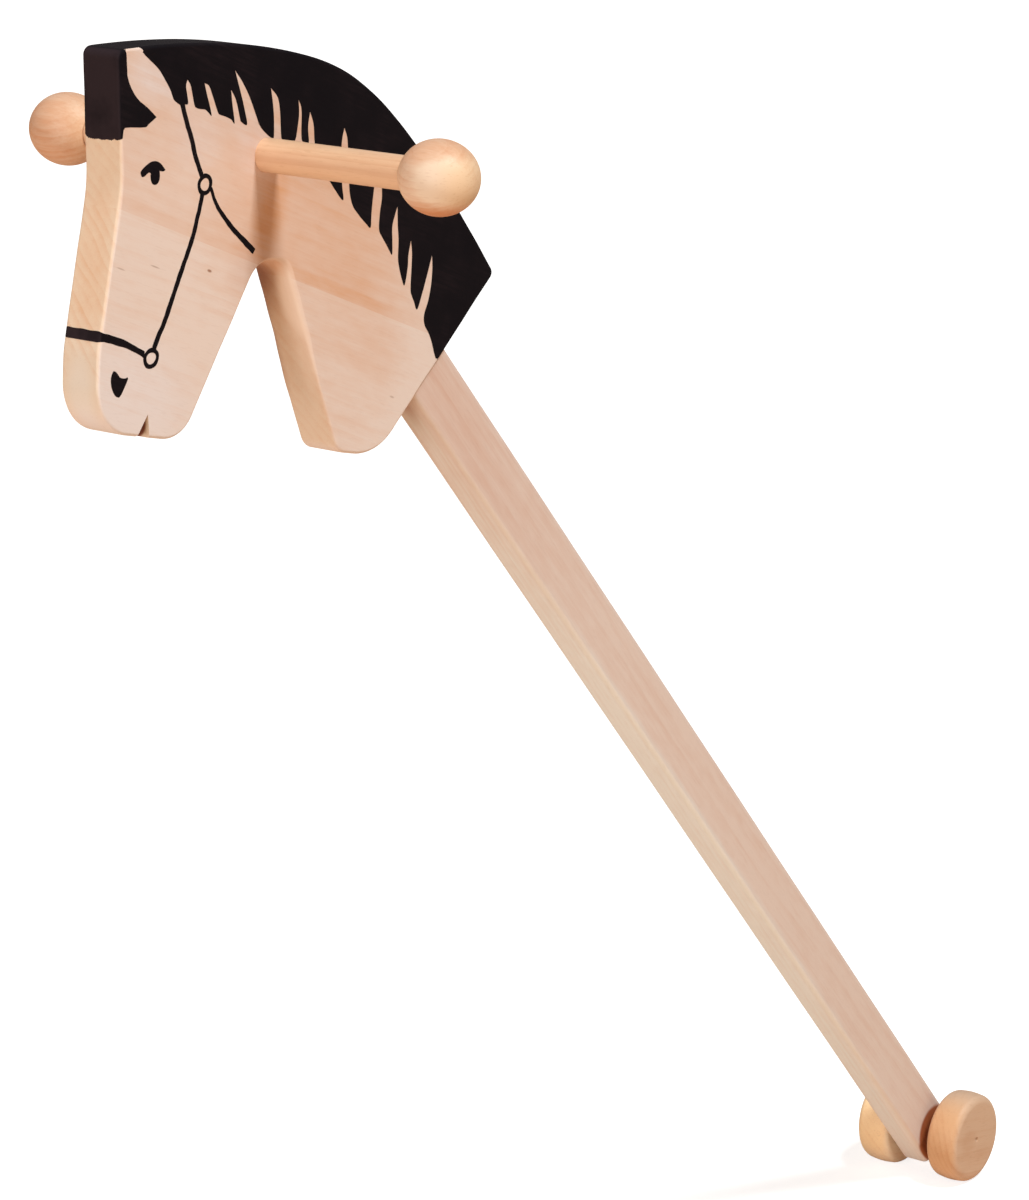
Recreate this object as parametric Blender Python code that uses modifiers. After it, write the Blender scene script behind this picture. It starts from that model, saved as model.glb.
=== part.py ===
"""A wooden hobby horse: a sawn head on a rounded bar that rolls on a pair of turned wheels.

The horse looks along -X and stands as it is ridden, with its wheels on the floor at Z = 0.
Its handle and its wheel axle lie along Y, and its left side faces -Y.
The origin is on the floor, under the middle of the whole toy.
"""
import math

import bmesh
import bpy
from mathutils import Matrix, Vector

MM = 0.001

# The gap that a glued piece keeps to the wall of its hole, and the clearance round the turning axle
FIT_GAP = 0.3 * MM

# Head: a flat board, sawn to an outline and rounded along its edges
BOARD_THICKNESS = 22 * MM
BOARD_EDGE_RADIUS = 2.2 * MM
BOARD_EDGE_STEPS = 3

# Corners of the sawn outline in mm: back from the handle's axis, up from it, rounding radius
FOREHEAD = (-99.3, 59.9, 4.0)
BROW = (-99.1, -0.7, 60.0)
NOSE = (-117.6, -74.0, 50.0)
MUZZLE = (-120.0, -108.6, 25.0)
CHIN = (-62.6, -123.3, 20.0)
THROAT = (5.2, -32.9, 16.0)
NECK_FOOT = (49.8, -150.4, 10.0)
NECK_HEEL = (79.9, -158.0, 35.0)
MANE_TIP = (174.6, -82.9, 3.5)

# Knots of the crest in mm, from the mane's tip to the forehead: back, up, heading in degrees
CREST_KNOTS = (
    (171.8, -79.3, 127.5),
    (105.7, -2.9, 136.0),
    (66.2, 27.9, 149.5),
    (20.1, 45.3, 165.4),
    (-93.5, 59.9, 178.5),
)
CREST_STEPS = 9
ARC_STEP = math.radians(9)

# Mouth: a tapered saw cut, in mm from the handle's axis
MOUTH_CORNER = (-85.7, -106.6)
MOUTH_FRONT = (-92.6, -114.9)
MOUTH_BACK = (-84.9, -116.9)
MOUTH_OVERCUT = 1.6

# Stick: a straight bar, measured along its length from beside the handle's axis
STICK_INCLINE = math.radians(48.5)
STICK_WIDTH = 34 * MM
STICK_THICKNESS = 19 * MM
STICK_EDGE_RADIUS = 4 * MM
STICK_END_RADIUS = 2 * MM
STICK_OFFSET = 10 * MM
STICK_FOOT = 941 * MM

# Two dowels that peg the stick to the neck
JOINT_DOWEL_DIAMETER = 8 * MM
JOINT_DOWEL_LENGTH = 48 * MM
JOINT_DOWEL_SPACING = 16 * MM
JOINT_DOWEL_CHAMFER = 0.8 * MM

# Handle: one dowel through the head with a turned knob on each end
HANDLE_DIAMETER = 16 * MM
HANDLE_CHAMFER = 1 * MM
KNOB_DIAMETER = 35 * MM
KNOB_LENGTH = 39 * MM
KNOB_SPACING = 223 * MM
KNOB_BORE_PAST_CENTRE = 7 * MM

# Wheels: glued on a turning axle close to the stick's foot
WHEEL_DIAMETER = 55 * MM
WHEEL_WIDTH = 21 * MM
WHEEL_EDGE_RADIUS = 4.8 * MM
WHEEL_CROWN = 0.5 * MM
WHEEL_SPACING = 49 * MM
WHEEL_BORE_DEPTH = 15 * MM
LATHE_MARK_RADIUS = 1.6 * MM
LATHE_MARK_DEPTH = 1 * MM
AXLE_DIAMETER = 6 * MM
AXLE_CHAMFER = 0.6 * MM
AXLE_ALONG = 936 * MM
AXLE_OFFSET = 15 * MM

# Facets round each turned or drilled form
BALL_FACETS = 36
WHEEL_FACETS = 56
ROD_FACETS = 28

# Directions of the stick in the X-Z plane
STICK_ALONG = Vector((math.cos(STICK_INCLINE), 0, -math.sin(STICK_INCLINE)))
STICK_ACROSS = Vector((math.sin(STICK_INCLINE), 0, math.cos(STICK_INCLINE)))

# The wheel axle's place, from the handle's axis
AXLE_FROM_HANDLE = STICK_ALONG * AXLE_ALONG + STICK_ACROSS * AXLE_OFFSET

# A turned piece is modelled along its own Z, which these turn to point along +Y or -Y
TO_RIGHT = Matrix.Rotation(-math.pi / 2, 4, 'X')
TO_LEFT = Matrix.Rotation(math.pi / 2, 4, 'X')


def clear_scene():
    """Remove every object, so that the model starts from nothing."""
    for obj in list(bpy.data.objects):
        bpy.data.objects.remove(obj, do_unlink=True)


def new_collection(name):
    """Add a collection to the scene and return it."""
    collection = bpy.data.collections.new(name)
    bpy.context.scene.collection.children.link(collection)
    return collection


def linear(channel):
    """Turn one 0-255 sRGB channel into the linear value that a shader takes."""
    share = channel / 255
    if share <= 0.04045:
        return share / 12.92
    return ((share + 0.055) / 1.055) ** 2.4


def wood(name, colour, roughness):
    """Make a Principled wood material from an sRGB colour."""
    material = bpy.data.materials.new(name)
    material.use_nodes = True
    shader = material.node_tree.nodes["Principled BSDF"]
    shader.inputs["Base Color"].default_value = [linear(channel) for channel in colour] + [1]
    shader.inputs["Roughness"].default_value = roughness
    shader.inputs["Metallic"].default_value = 0
    material.diffuse_color = [channel / 255 for channel in colour] + [1]
    return material


def add_object(name, mesh, collection, parent, material=None):
    """Put a mesh in the scene under a parent empty."""
    obj = bpy.data.objects.new(name, mesh)
    collection.objects.link(obj)
    obj.parent = parent
    if material:
        mesh.materials.append(material)
    return obj


def add_empty(name, collection, place):
    """Add an empty that carries pieces at an axis of the toy."""
    empty = bpy.data.objects.new(name, None)
    empty.empty_display_size = 30 * MM
    collection.objects.link(empty)
    empty.location = place
    return empty


def round_shading(mesh, sharp_degrees=35):
    """Shade a turned piece smooth, with its real corners kept sharp."""
    mesh.shade_smooth()
    mesh.set_sharp_from_angle(angle=math.radians(sharp_degrees))


def fillet(before, corner, after, radius):
    """Return the arc of a radius that rounds a corner of a flat outline.

    The arc starts and ends at the corner's distance radius / tan(half the corner's angle).
    """
    corner = Vector(corner)
    back = (Vector(before) - corner).normalized()
    ahead = (Vector(after) - corner).normalized()
    half = back.angle(ahead) / 2
    centre = corner + (back + ahead).normalized() * (radius / math.sin(half))
    start = corner + back * (radius / math.tan(half)) - centre
    end = corner + ahead * (radius / math.tan(half)) - centre
    sweep = math.pi - 2 * half
    side = math.copysign(1, start.x * end.y - start.y * end.x)
    steps = max(2, math.ceil(sweep / ARC_STEP))
    arc = []
    for step in range(steps + 1):
        turned = start.copy()
        turned.rotate(Matrix.Rotation(side * sweep * step / steps, 2))
        arc.append(centre + turned)
    return arc


def crest_line():
    """Return the points of the crest, a chain of cubic curves through its knots."""
    points = []
    for (x0, z0, heading0), (x1, z1, heading1) in zip(CREST_KNOTS, CREST_KNOTS[1:]):
        start = Vector((x0, z0))
        end = Vector((x1, z1))
        reach = (end - start).length / 3
        leave = start + reach * Vector((math.cos(math.radians(heading0)), math.sin(math.radians(heading0))))
        arrive = end - reach * Vector((math.cos(math.radians(heading1)), math.sin(math.radians(heading1))))
        for step in range(CREST_STEPS):
            t = step / CREST_STEPS
            u = 1 - t
            points.append(u**3 * start + 3 * u * u * t * leave + 3 * u * t * t * arrive + t**3 * end)
    points.append(Vector(CREST_KNOTS[-1][:2]))
    return points


def head_outline():
    """Return the whole outline of the head in metres from the handle's axis."""
    crest = crest_line()
    corners = (FOREHEAD, BROW, NOSE, MUZZLE, CHIN, THROAT, NECK_FOOT, NECK_HEEL, MANE_TIP)
    places = [corner[:2] for corner in corners]
    places = [crest[-1]] + places + [crest[0]]
    points = []
    for index, corner in enumerate(corners):
        points += fillet(places[index], corner[:2], places[index + 2], corner[2])
    points += crest
    outline = []
    for point in points:
        if not outline or (point - outline[-1]).length > 0.4:
            outline.append(point)
    if (outline[0] - outline[-1]).length <= 0.4:
        outline.pop()
    return [point * MM for point in outline]


def board_mesh(name, outline, thickness, collection):
    """Extrude a flat outline to a board that stands in the X-Z plane, centred on Y = 0."""
    curve = bpy.data.curves.new(name, 'CURVE')
    curve.dimensions = '2D'
    curve.fill_mode = 'BOTH'
    curve.extrude = thickness / 2
    spline = curve.splines.new('POLY')
    spline.points.add(len(outline) - 1)
    for point, place in zip(spline.points, outline):
        point.co = (place.x, place.y, 0, 1)
    spline.use_cyclic_u = True
    drawn = bpy.data.objects.new(name + "_outline", curve)
    collection.objects.link(drawn)
    drawn.rotation_euler = (math.pi / 2, 0, 0)
    bpy.context.view_layer.update()
    evaluated = drawn.evaluated_get(bpy.context.evaluated_depsgraph_get())
    mesh = bpy.data.meshes.new_from_object(evaluated)
    mesh.transform(drawn.matrix_world)
    mesh.name = name
    bpy.data.objects.remove(drawn, do_unlink=True)
    solid = bmesh.new()
    solid.from_mesh(mesh)
    bmesh.ops.remove_doubles(solid, verts=solid.verts, dist=0.01 * MM)
    for side in (-1, 1):
        cap = [face for face in solid.faces if face.normal.y * side > 0.9]
        bmesh.ops.dissolve_faces(solid, faces=cap)
    bmesh.ops.recalc_face_normals(solid, faces=solid.faces)
    solid.to_mesh(mesh)
    solid.free()
    return mesh


def round_board_edges(mesh, radius, steps):
    """Round the long edges between a board's two sides and its sawn edge."""
    solid = bmesh.new()
    solid.from_mesh(mesh)
    arrises = []
    for edge in solid.edges:
        normals = [abs(face.normal.y) for face in edge.link_faces]
        if max(normals) > 0.9 and min(normals) < 0.1:
            arrises.append(edge)
    bmesh.ops.bevel(
        solid, geom=arrises, offset=radius, offset_type='OFFSET', segments=steps, profile=0.5,
        affect='EDGES', clamp_overlap=True,
    )
    solid.to_mesh(mesh)
    solid.free()


def turned_object(name, profile, facets, collection, parent, turn, place, material=None):
    """Turn a profile of (radius, height) points round a Z axis that then lies along Y.

    The profile runs from the outer end's middle, down the outside, to the inner end's middle.
    """
    mesh = bpy.data.meshes.new(name)
    points = [(radius, 0, height) for radius, height in profile]
    edges = [(index, index + 1) for index in range(len(points) - 1)]
    mesh.from_pydata(points, edges, [])
    obj = add_object(name, mesh, collection, parent, material)
    screw = obj.modifiers.new("turning", 'SCREW')
    screw.axis = 'Z'
    screw.angle = 2 * math.pi
    screw.steps = facets
    screw.render_steps = facets
    screw.use_merge_vertices = True
    screw.merge_threshold = 0.00001
    screw.use_smooth_shade = True
    obj.rotation_euler = turn.to_euler()
    obj.location = place
    return obj


def rod_profile(diameter, length, chamfer):
    """Return the profile of a plain rod with chamfered ends, centred on its length."""
    radius = diameter / 2
    half = length / 2
    return [
        (0, half),
        (radius - chamfer, half),
        (radius, half - chamfer),
        (radius, chamfer - half),
        (radius - chamfer, -half),
        (0, -half),
    ]


def add_cutter(name, mesh, collection, parent):
    """Add a hidden solid that a Boolean cuts away."""
    cutter = add_object(name, mesh, collection, parent)
    cutter.hide_render = True
    cutter.display_type = 'WIRE'
    return cutter


def rod_cutter(name, diameter, length, centre, direction, collection, parent):
    """Add a cutter for a drilled hole, centred on a point and lying along a direction."""
    mesh = bpy.data.meshes.new(name)
    rod = bmesh.new()
    bmesh.ops.create_cone(
        rod, cap_ends=True, segments=ROD_FACETS, radius1=diameter / 2, radius2=diameter / 2, depth=length,
    )
    rod.to_mesh(mesh)
    rod.free()
    cutter = add_cutter(name, mesh, collection, parent)
    cutter.location = centre
    cutter.rotation_euler = Vector(direction).to_track_quat('Z', 'Y').to_euler()
    return cutter


def cut(obj, cutter):
    """Cut one solid out of another with an exact Boolean."""
    boolean = obj.modifiers.new(cutter.name, 'BOOLEAN')
    boolean.operation = 'DIFFERENCE'
    boolean.solver = 'EXACT'
    boolean.object = cutter


def joint_line():
    """Return the line where the neck's sawn foot meets the stick, from heel to mane tip."""
    heel = Vector((NECK_HEEL[0], 0, NECK_HEEL[1])) * MM
    tip = Vector((MANE_TIP[0], 0, MANE_TIP[1])) * MM
    return heel, (tip - heel).normalized()


def joint_point(offset):
    """Return the point of the neck's foot at an offset across the stick."""
    heel, direction = joint_line()
    share = (offset - heel.dot(STICK_ACROSS)) / direction.dot(STICK_ACROSS)
    return heel + direction * share


def joint_dowel_places():
    """Yield the name and the middle of each dowel between the stick and the neck."""
    for name, side in (("lower", -1), ("upper", 1)):
        offset = STICK_OFFSET + side * JOINT_DOWEL_SPACING / 2
        yield name, joint_point(offset)


def build_head(parts, cutters, handle_axis):
    """Saw the head from a board, round its edges, then cut its mouth and drill it."""
    mesh = board_mesh("head_board", head_outline(), BOARD_THICKNESS, parts)
    round_board_edges(mesh, BOARD_EDGE_RADIUS, BOARD_EDGE_STEPS)
    round_shading(mesh, 25)
    head = add_object("head_board", mesh, parts, handle_axis, wood("head_wood", (228, 199, 174), 0.55))

    handle_hole = rod_cutter(
        "handle_hole", HANDLE_DIAMETER + 2 * FIT_GAP, 2 * BOARD_THICKNESS, (0, 0, 0), (0, 1, 0),
        cutters, handle_axis,
    )
    cut(head, handle_hole)

    corner = Vector(MOUTH_CORNER)
    slit = [corner]
    for lip in (MOUTH_FRONT, MOUTH_BACK):
        slit.append(corner + (Vector(lip) - corner) * MOUTH_OVERCUT)
    slit = [point * MM for point in slit]
    mouth = add_cutter("mouth_cut", board_mesh("mouth_cut", slit, 2 * BOARD_THICKNESS, cutters), cutters, handle_axis)
    cut(head, mouth)

    for name, place in joint_dowel_places():
        hole = rod_cutter(
            "head_dowel_hole_" + name, JOINT_DOWEL_DIAMETER + 2 * FIT_GAP, JOINT_DOWEL_LENGTH + 2 * FIT_GAP,
            place, STICK_ALONG, cutters, handle_axis,
        )
        cut(head, hole)
    return head


def build_stick(parts, cutters, handle_axis):
    """Plane the bar, round its edges, mitre its top to the neck's foot and drill it."""
    top = joint_point(STICK_OFFSET).dot(STICK_ALONG) - STICK_WIDTH
    length = STICK_FOOT - top
    bar = bmesh.new()
    bmesh.ops.create_cube(bar, size=1)
    bmesh.ops.scale(bar, verts=bar.verts, vec=(length, STICK_THICKNESS, STICK_WIDTH))
    long_edges = [edge for edge in bar.edges if abs(edge.verts[0].co.x - edge.verts[1].co.x) > length / 2]
    bmesh.ops.bevel(
        bar, geom=long_edges, offset=STICK_EDGE_RADIUS, offset_type='OFFSET', segments=5, profile=0.5,
        affect='EDGES',
    )
    foot_edges = []
    for edge in bar.edges:
        if all(vert.co.x > length / 2 - 0.01 * MM for vert in edge.verts):
            foot_edges.append(edge)
    bmesh.ops.bevel(
        bar, geom=foot_edges, offset=STICK_END_RADIUS, offset_type='OFFSET', segments=3, profile=0.5,
        affect='EDGES',
    )
    turn = Matrix.Rotation(STICK_INCLINE, 4, 'Y')
    middle = STICK_ALONG * (top + length / 2) + STICK_ACROSS * STICK_OFFSET
    bmesh.ops.transform(bar, matrix=Matrix.Translation(middle) @ turn, verts=bar.verts)

    heel, direction = joint_line()
    outward = Vector((0, 1, 0)).cross(direction)
    if outward.dot(STICK_ALONG) < 0:
        outward.negate()
    geometry = list(bar.verts) + list(bar.edges) + list(bar.faces)
    mitre = bmesh.ops.bisect_plane(
        bar, geom=geometry, plane_co=heel + outward * FIT_GAP, plane_no=outward, clear_inner=True,
    )
    rim = [item for item in mitre["geom_cut"] if isinstance(item, bmesh.types.BMEdge)]
    bmesh.ops.edgenet_fill(bar, edges=rim)
    bmesh.ops.recalc_face_normals(bar, faces=bar.faces)
    mesh = bpy.data.meshes.new("stick")
    bar.to_mesh(mesh)
    bar.free()
    round_shading(mesh)
    stick = add_object("stick", mesh, parts, handle_axis, wood("stick_wood", (216, 184, 162), 0.5))

    for name, place in joint_dowel_places():
        hole = rod_cutter(
            "stick_dowel_hole_" + name, JOINT_DOWEL_DIAMETER + 2 * FIT_GAP, JOINT_DOWEL_LENGTH + 2 * FIT_GAP,
            place, STICK_ALONG, cutters, handle_axis,
        )
        cut(stick, hole)
    axle_hole = rod_cutter(
        "axle_hole", AXLE_DIAMETER + 2 * FIT_GAP, 2 * STICK_THICKNESS, AXLE_FROM_HANDLE, (0, 1, 0),
        cutters, handle_axis,
    )
    cut(stick, axle_hole)
    return stick


def build_joint_dowels(parts, handle_axis):
    """Turn the two dowels that peg the stick to the neck."""
    profile = rod_profile(JOINT_DOWEL_DIAMETER, JOINT_DOWEL_LENGTH, JOINT_DOWEL_CHAMFER)
    material = wood("joint_dowel_wood", (222, 190, 152), 0.6)
    for name, place in joint_dowel_places():
        turn = STICK_ALONG.to_track_quat('Z', 'Y').to_matrix().to_4x4()
        turned_object("joint_dowel_" + name, profile, ROD_FACETS, parts, handle_axis, turn, place, material)


def knob_profile():
    """Return a knob's profile: a ball drawn out along the handle, with a blind hole.

    The ball is an ellipse, radius = knob radius * cos(a) and height = half length * sin(a).
    """
    radius = KNOB_DIAMETER / 2
    half = KNOB_LENGTH / 2
    bore = HANDLE_DIAMETER / 2 + FIT_GAP
    mouth = -math.acos(bore / radius)
    steps = BALL_FACETS // 2
    profile = [(0, half)]
    for step in range(1, steps + 1):
        angle = math.pi / 2 + (mouth - math.pi / 2) * step / steps
        profile.append((radius * math.cos(angle), half * math.sin(angle)))
    profile.append((bore, KNOB_BORE_PAST_CENTRE))
    profile.append((0, KNOB_BORE_PAST_CENTRE))
    return profile


def build_handle(parts, handle_axis):
    """Put the dowel through the head and a knob on each of its ends."""
    length = KNOB_SPACING + 2 * (KNOB_BORE_PAST_CENTRE - FIT_GAP)
    profile = rod_profile(HANDLE_DIAMETER, length, HANDLE_CHAMFER)
    dowel_wood = wood("handle_wood", (235, 190, 148), 0.42)
    turned_object("handle_dowel", profile, ROD_FACETS, parts, handle_axis, TO_RIGHT, (0, 0, 0), dowel_wood)
    knob_wood = wood("knob_wood", (234, 186, 142), 0.38)
    for name, turn, side in (("knob_left", TO_LEFT, -1), ("knob_right", TO_RIGHT, 1)):
        place = (0, side * KNOB_SPACING / 2, 0)
        turned_object(name, knob_profile(), BALL_FACETS, parts, handle_axis, turn, place, knob_wood)


def wheel_profile():
    """Return a wheel's profile: lathe mark, outer face, rounded and crowned tread, blind hole.

    The tread's radius falls off from the middle by crown * (height / half width) squared.
    """
    radius = WHEEL_DIAMETER / 2
    half = WHEEL_WIDTH / 2
    corner = half - WHEEL_EDGE_RADIUS
    bore = AXLE_DIAMETER / 2 + FIT_GAP
    shoulder = radius - WHEEL_CROWN - WHEEL_EDGE_RADIUS
    profile = [(0, half - LATHE_MARK_DEPTH), (LATHE_MARK_RADIUS, half)]
    for step in range(6):
        angle = math.pi / 2 * (1 - step / 5)
        profile.append((shoulder + WHEEL_EDGE_RADIUS * math.cos(angle), corner + WHEEL_EDGE_RADIUS * math.sin(angle)))
    for step in range(1, 6):
        height = corner * (1 - step / 3)
        profile.append((radius - WHEEL_CROWN * (height / corner) ** 2, height))
    for step in range(6):
        angle = -math.pi / 2 * step / 5
        profile.append((shoulder + WHEEL_EDGE_RADIUS * math.cos(angle), WHEEL_EDGE_RADIUS * math.sin(angle) - corner))
    bore_end = WHEEL_BORE_DEPTH - half
    profile += [(bore, -half), (bore, bore_end), (0, bore_end)]
    return profile


def build_wheels(parts, wheel_axis):
    """Turn the axle and the two wheels that are glued on it."""
    inner_face = WHEEL_SPACING / 2 - WHEEL_WIDTH / 2
    length = 2 * (inner_face + WHEEL_BORE_DEPTH - FIT_GAP)
    profile = rod_profile(AXLE_DIAMETER, length, AXLE_CHAMFER)
    axle_wood = wood("axle_wood", (214, 172, 132), 0.5)
    turned_object("axle_dowel", profile, ROD_FACETS, parts, wheel_axis, TO_RIGHT, (0, 0, 0), axle_wood)
    wheel_wood = wood("wheel_wood", (222, 168, 124), 0.45)
    for name, turn, side in (("wheel_left", TO_LEFT, -1), ("wheel_right", TO_RIGHT, 1)):
        place = (0, side * WHEEL_SPACING / 2, 0)
        turned_object(name, wheel_profile(), WHEEL_FACETS, parts, wheel_axis, turn, place, wheel_wood)


def handle_place():
    """Return the handle axis's place that puts the origin on the floor, under the toy's middle.

    X = (the muzzle's reach ahead of the handle - the wheels' reach behind it) / 2.
    """
    wheel_radius = WHEEL_DIAMETER / 2
    muzzle_reach = -min(point.x for point in head_outline())
    wheel_reach = AXLE_FROM_HANDLE.x + wheel_radius
    return Vector(((muzzle_reach - wheel_reach) / 2, 0, wheel_radius - AXLE_FROM_HANDLE.z))


def main():
    """Build the whole hobby horse."""
    clear_scene()
    parts = new_collection("hobby_horse")
    cutters = new_collection("cutters")
    handle = handle_place()
    axle = handle + AXLE_FROM_HANDLE
    handle_axis = add_empty("handle_axis", parts, handle)
    wheel_axis = add_empty("wheel_axis", parts, axle)
    build_head(parts, cutters, handle_axis)
    build_stick(parts, cutters, handle_axis)
    build_joint_dowels(parts, handle_axis)
    build_handle(parts, handle_axis)
    build_wheels(parts, wheel_axis)
    bpy.context.view_layer.update()
    print("handle axis at", [round(value, 5) for value in handle])
    print("wheel axis at", [round(value, 5) for value in axle])


main()
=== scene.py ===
"""Looks of a wooden hobby horse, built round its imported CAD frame.

The horse looks along -X, stands on the floor at Z = 0 and has its left side towards -Y.
Places on the head are in millimetres from the handle's axis: back along X, up along Z.
"""
import logging
import math
from dataclasses import dataclass, replace
from enum import Enum

import bmesh
import bpy
import numpy as np
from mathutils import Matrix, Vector


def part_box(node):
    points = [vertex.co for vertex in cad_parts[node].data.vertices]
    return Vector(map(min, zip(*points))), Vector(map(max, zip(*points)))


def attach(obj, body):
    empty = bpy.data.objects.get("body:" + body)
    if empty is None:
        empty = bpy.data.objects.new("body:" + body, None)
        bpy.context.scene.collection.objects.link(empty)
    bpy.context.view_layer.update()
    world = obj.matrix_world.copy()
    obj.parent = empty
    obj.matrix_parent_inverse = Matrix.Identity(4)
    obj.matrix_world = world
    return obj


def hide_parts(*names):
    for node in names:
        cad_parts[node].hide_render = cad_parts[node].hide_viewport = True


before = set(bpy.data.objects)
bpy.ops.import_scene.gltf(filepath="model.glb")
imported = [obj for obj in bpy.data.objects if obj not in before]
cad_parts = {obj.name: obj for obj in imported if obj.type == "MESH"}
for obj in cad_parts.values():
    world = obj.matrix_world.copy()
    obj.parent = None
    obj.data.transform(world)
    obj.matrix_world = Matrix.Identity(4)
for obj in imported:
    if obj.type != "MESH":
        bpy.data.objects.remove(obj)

LOG = logging.getLogger("hobby_horse")
MM = 0.001
QUARTER_TURN = math.pi / 2
FULL_TURN = 2 * math.pi
CORNER_DEGREES = 30
GRAIN = (0.9205, 0.0, -0.3907)
STICK_GRAIN = (0.66262, 0.0, -0.74896)
RIGHTWARD = Vector((0, 1, 0))
JOINT_DOWELS = ("joint_dowel_lower", "joint_dowel_upper")

Array = np.ndarray
Place = tuple[float, float]
Triple = tuple[float, float, float]
Colour = Triple
Object = bpy.types.Object
Node = bpy.types.Node
Socket = bpy.types.NodeSocket
Value = Socket | float | tuple


class Side(Enum):
    """Which side of the head a piece lies on, as the sign of Y."""

    LEFT = -1
    RIGHT = 1

    @property
    def word(self) -> str:
        """Return the side as it stands in a piece's name."""
        return self.name.lower()


class Body(Enum):
    """The two moving bodies of the toy."""

    HORSE = "horse"
    WHEEL_SET = "wheel_set"


class Stain(Enum):
    """What an oval on the wood does to its colour."""

    TONE = "towards the dark grain"
    FLECK = "towards the fleck's colour"
    # Browner: the wheels' lathe burn mark, and painted shade where parts meet, on the stick by the near
    # wheel and under the neck's foot, and on the head next to the throat.
    SCORCH = "browner, as from rubbing or dirt"
    # Painted shade on the sawn edges only: deep in the mouth's slit, and on the throat where the jaw shades
    # it.
    SAWN = "browner on sawn edges only, as from the saw's heat"
    TINT = "towards another sort of the same wood"
    # Painted highlight along the rounded arrises, where they catch the light.
    ARRIS = "towards the arris's colour along the arrises"
    # Painted light on the sawn edges only, in the arris's colour: the lit near side of the throat's broad
    # sanded bevel.
    SANDED = "towards the arris's colour on sawn edges only"


def linear(colour: Colour) -> tuple[float, float, float, float]:
    """Turn a 0-255 sRGB colour into the linear RGBA that a shader takes."""
    share = np.array(colour) / 255
    value = np.where(share <= 0.04045, share / 12.92, ((share + 0.055) / 1.055) ** 2.4)
    return (*value.tolist(), 1.0)


def middle_of(body: str) -> Vector:
    """Return the middle of a CAD node's box."""
    low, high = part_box(body)
    return (low + high) / 2


HANDLE_AXIS = middle_of("handle_dowel")
WHEEL_AXIS = middle_of("axle_dowel")


def unit(vectors: Array) -> Array:
    """Return vectors at length 1."""
    return vectors / np.linalg.norm(vectors, axis=-1, keepdims=True)


def waves(reach: Array, *terms: Triple) -> Array:
    """Return a sum of sine waves, each given by its height, its length / a full turn and its start."""
    return sum(height * np.sin(reach / length + start) for height, length, start in terms)


def show(name: str, data: bpy.types.ID) -> Object:
    """Put new data in the scene as an object."""
    obj = bpy.data.objects.new(name, data)
    bpy.context.scene.collection.objects.link(obj)
    return obj


class Line:
    """Smooth lines in the head's plane."""

    @staticmethod
    def through(points: Array | tuple, steps: int = 10) -> Array:
        """Return a Catmull-Rom curve through points.

        Args:
            points: places that the curve passes, in order.
            steps: pieces between two places.

        Returns:
            The curve's points with both ends.
        """
        held = np.asarray(points, float)
        padded = np.vstack([2 * held[0] - held[1], held, 2 * held[-1] - held[-2]])
        before, start, end, after = padded[:-3], padded[1:-2], padded[2:-1], padded[3:]
        t = np.linspace(0, 1, steps, endpoint=False)[None, :, None]
        before, start, end, after = (knot[:, None, :] for knot in (before, start, end, after))
        curve = 0.5 * (
            2 * start
            + (end - before) * t
            + (2 * before - 5 * start + 4 * end - after) * t**2
            + (3 * start - before - 3 * end + after) * t**3
        )
        return np.vstack([curve.reshape(-1, held.shape[1]), held[-1]])

    @staticmethod
    def chain(spans: tuple, steps: int = 8) -> Array:
        """Join smooth spans that meet at sharp corners into one line."""
        curves = [Line.through(span, steps)[:-1] for span in spans]
        return np.vstack([*curves, np.asarray(spans[-1], float)[-1:]])

    @staticmethod
    def even(points: Array, spacing: float) -> Array:
        """Return a line's points again, evenly spaced along it."""
        reach = np.concatenate([[0], np.cumsum(np.linalg.norm(np.diff(points, axis=0), axis=1))])
        count = max(2, math.ceil(reach[-1] / spacing) + 1)
        places = np.linspace(0, reach[-1], count)
        return np.stack([np.interp(places, reach, column) for column in points.T], axis=1)

    @staticmethod
    def sideways(points: Array) -> Array:
        """Return the unit vector to the right of a flat line's run at each point."""
        run = unit(np.gradient(points, axis=0))
        return np.stack([run[:, 1], -run[:, 0]], axis=1)


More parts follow.
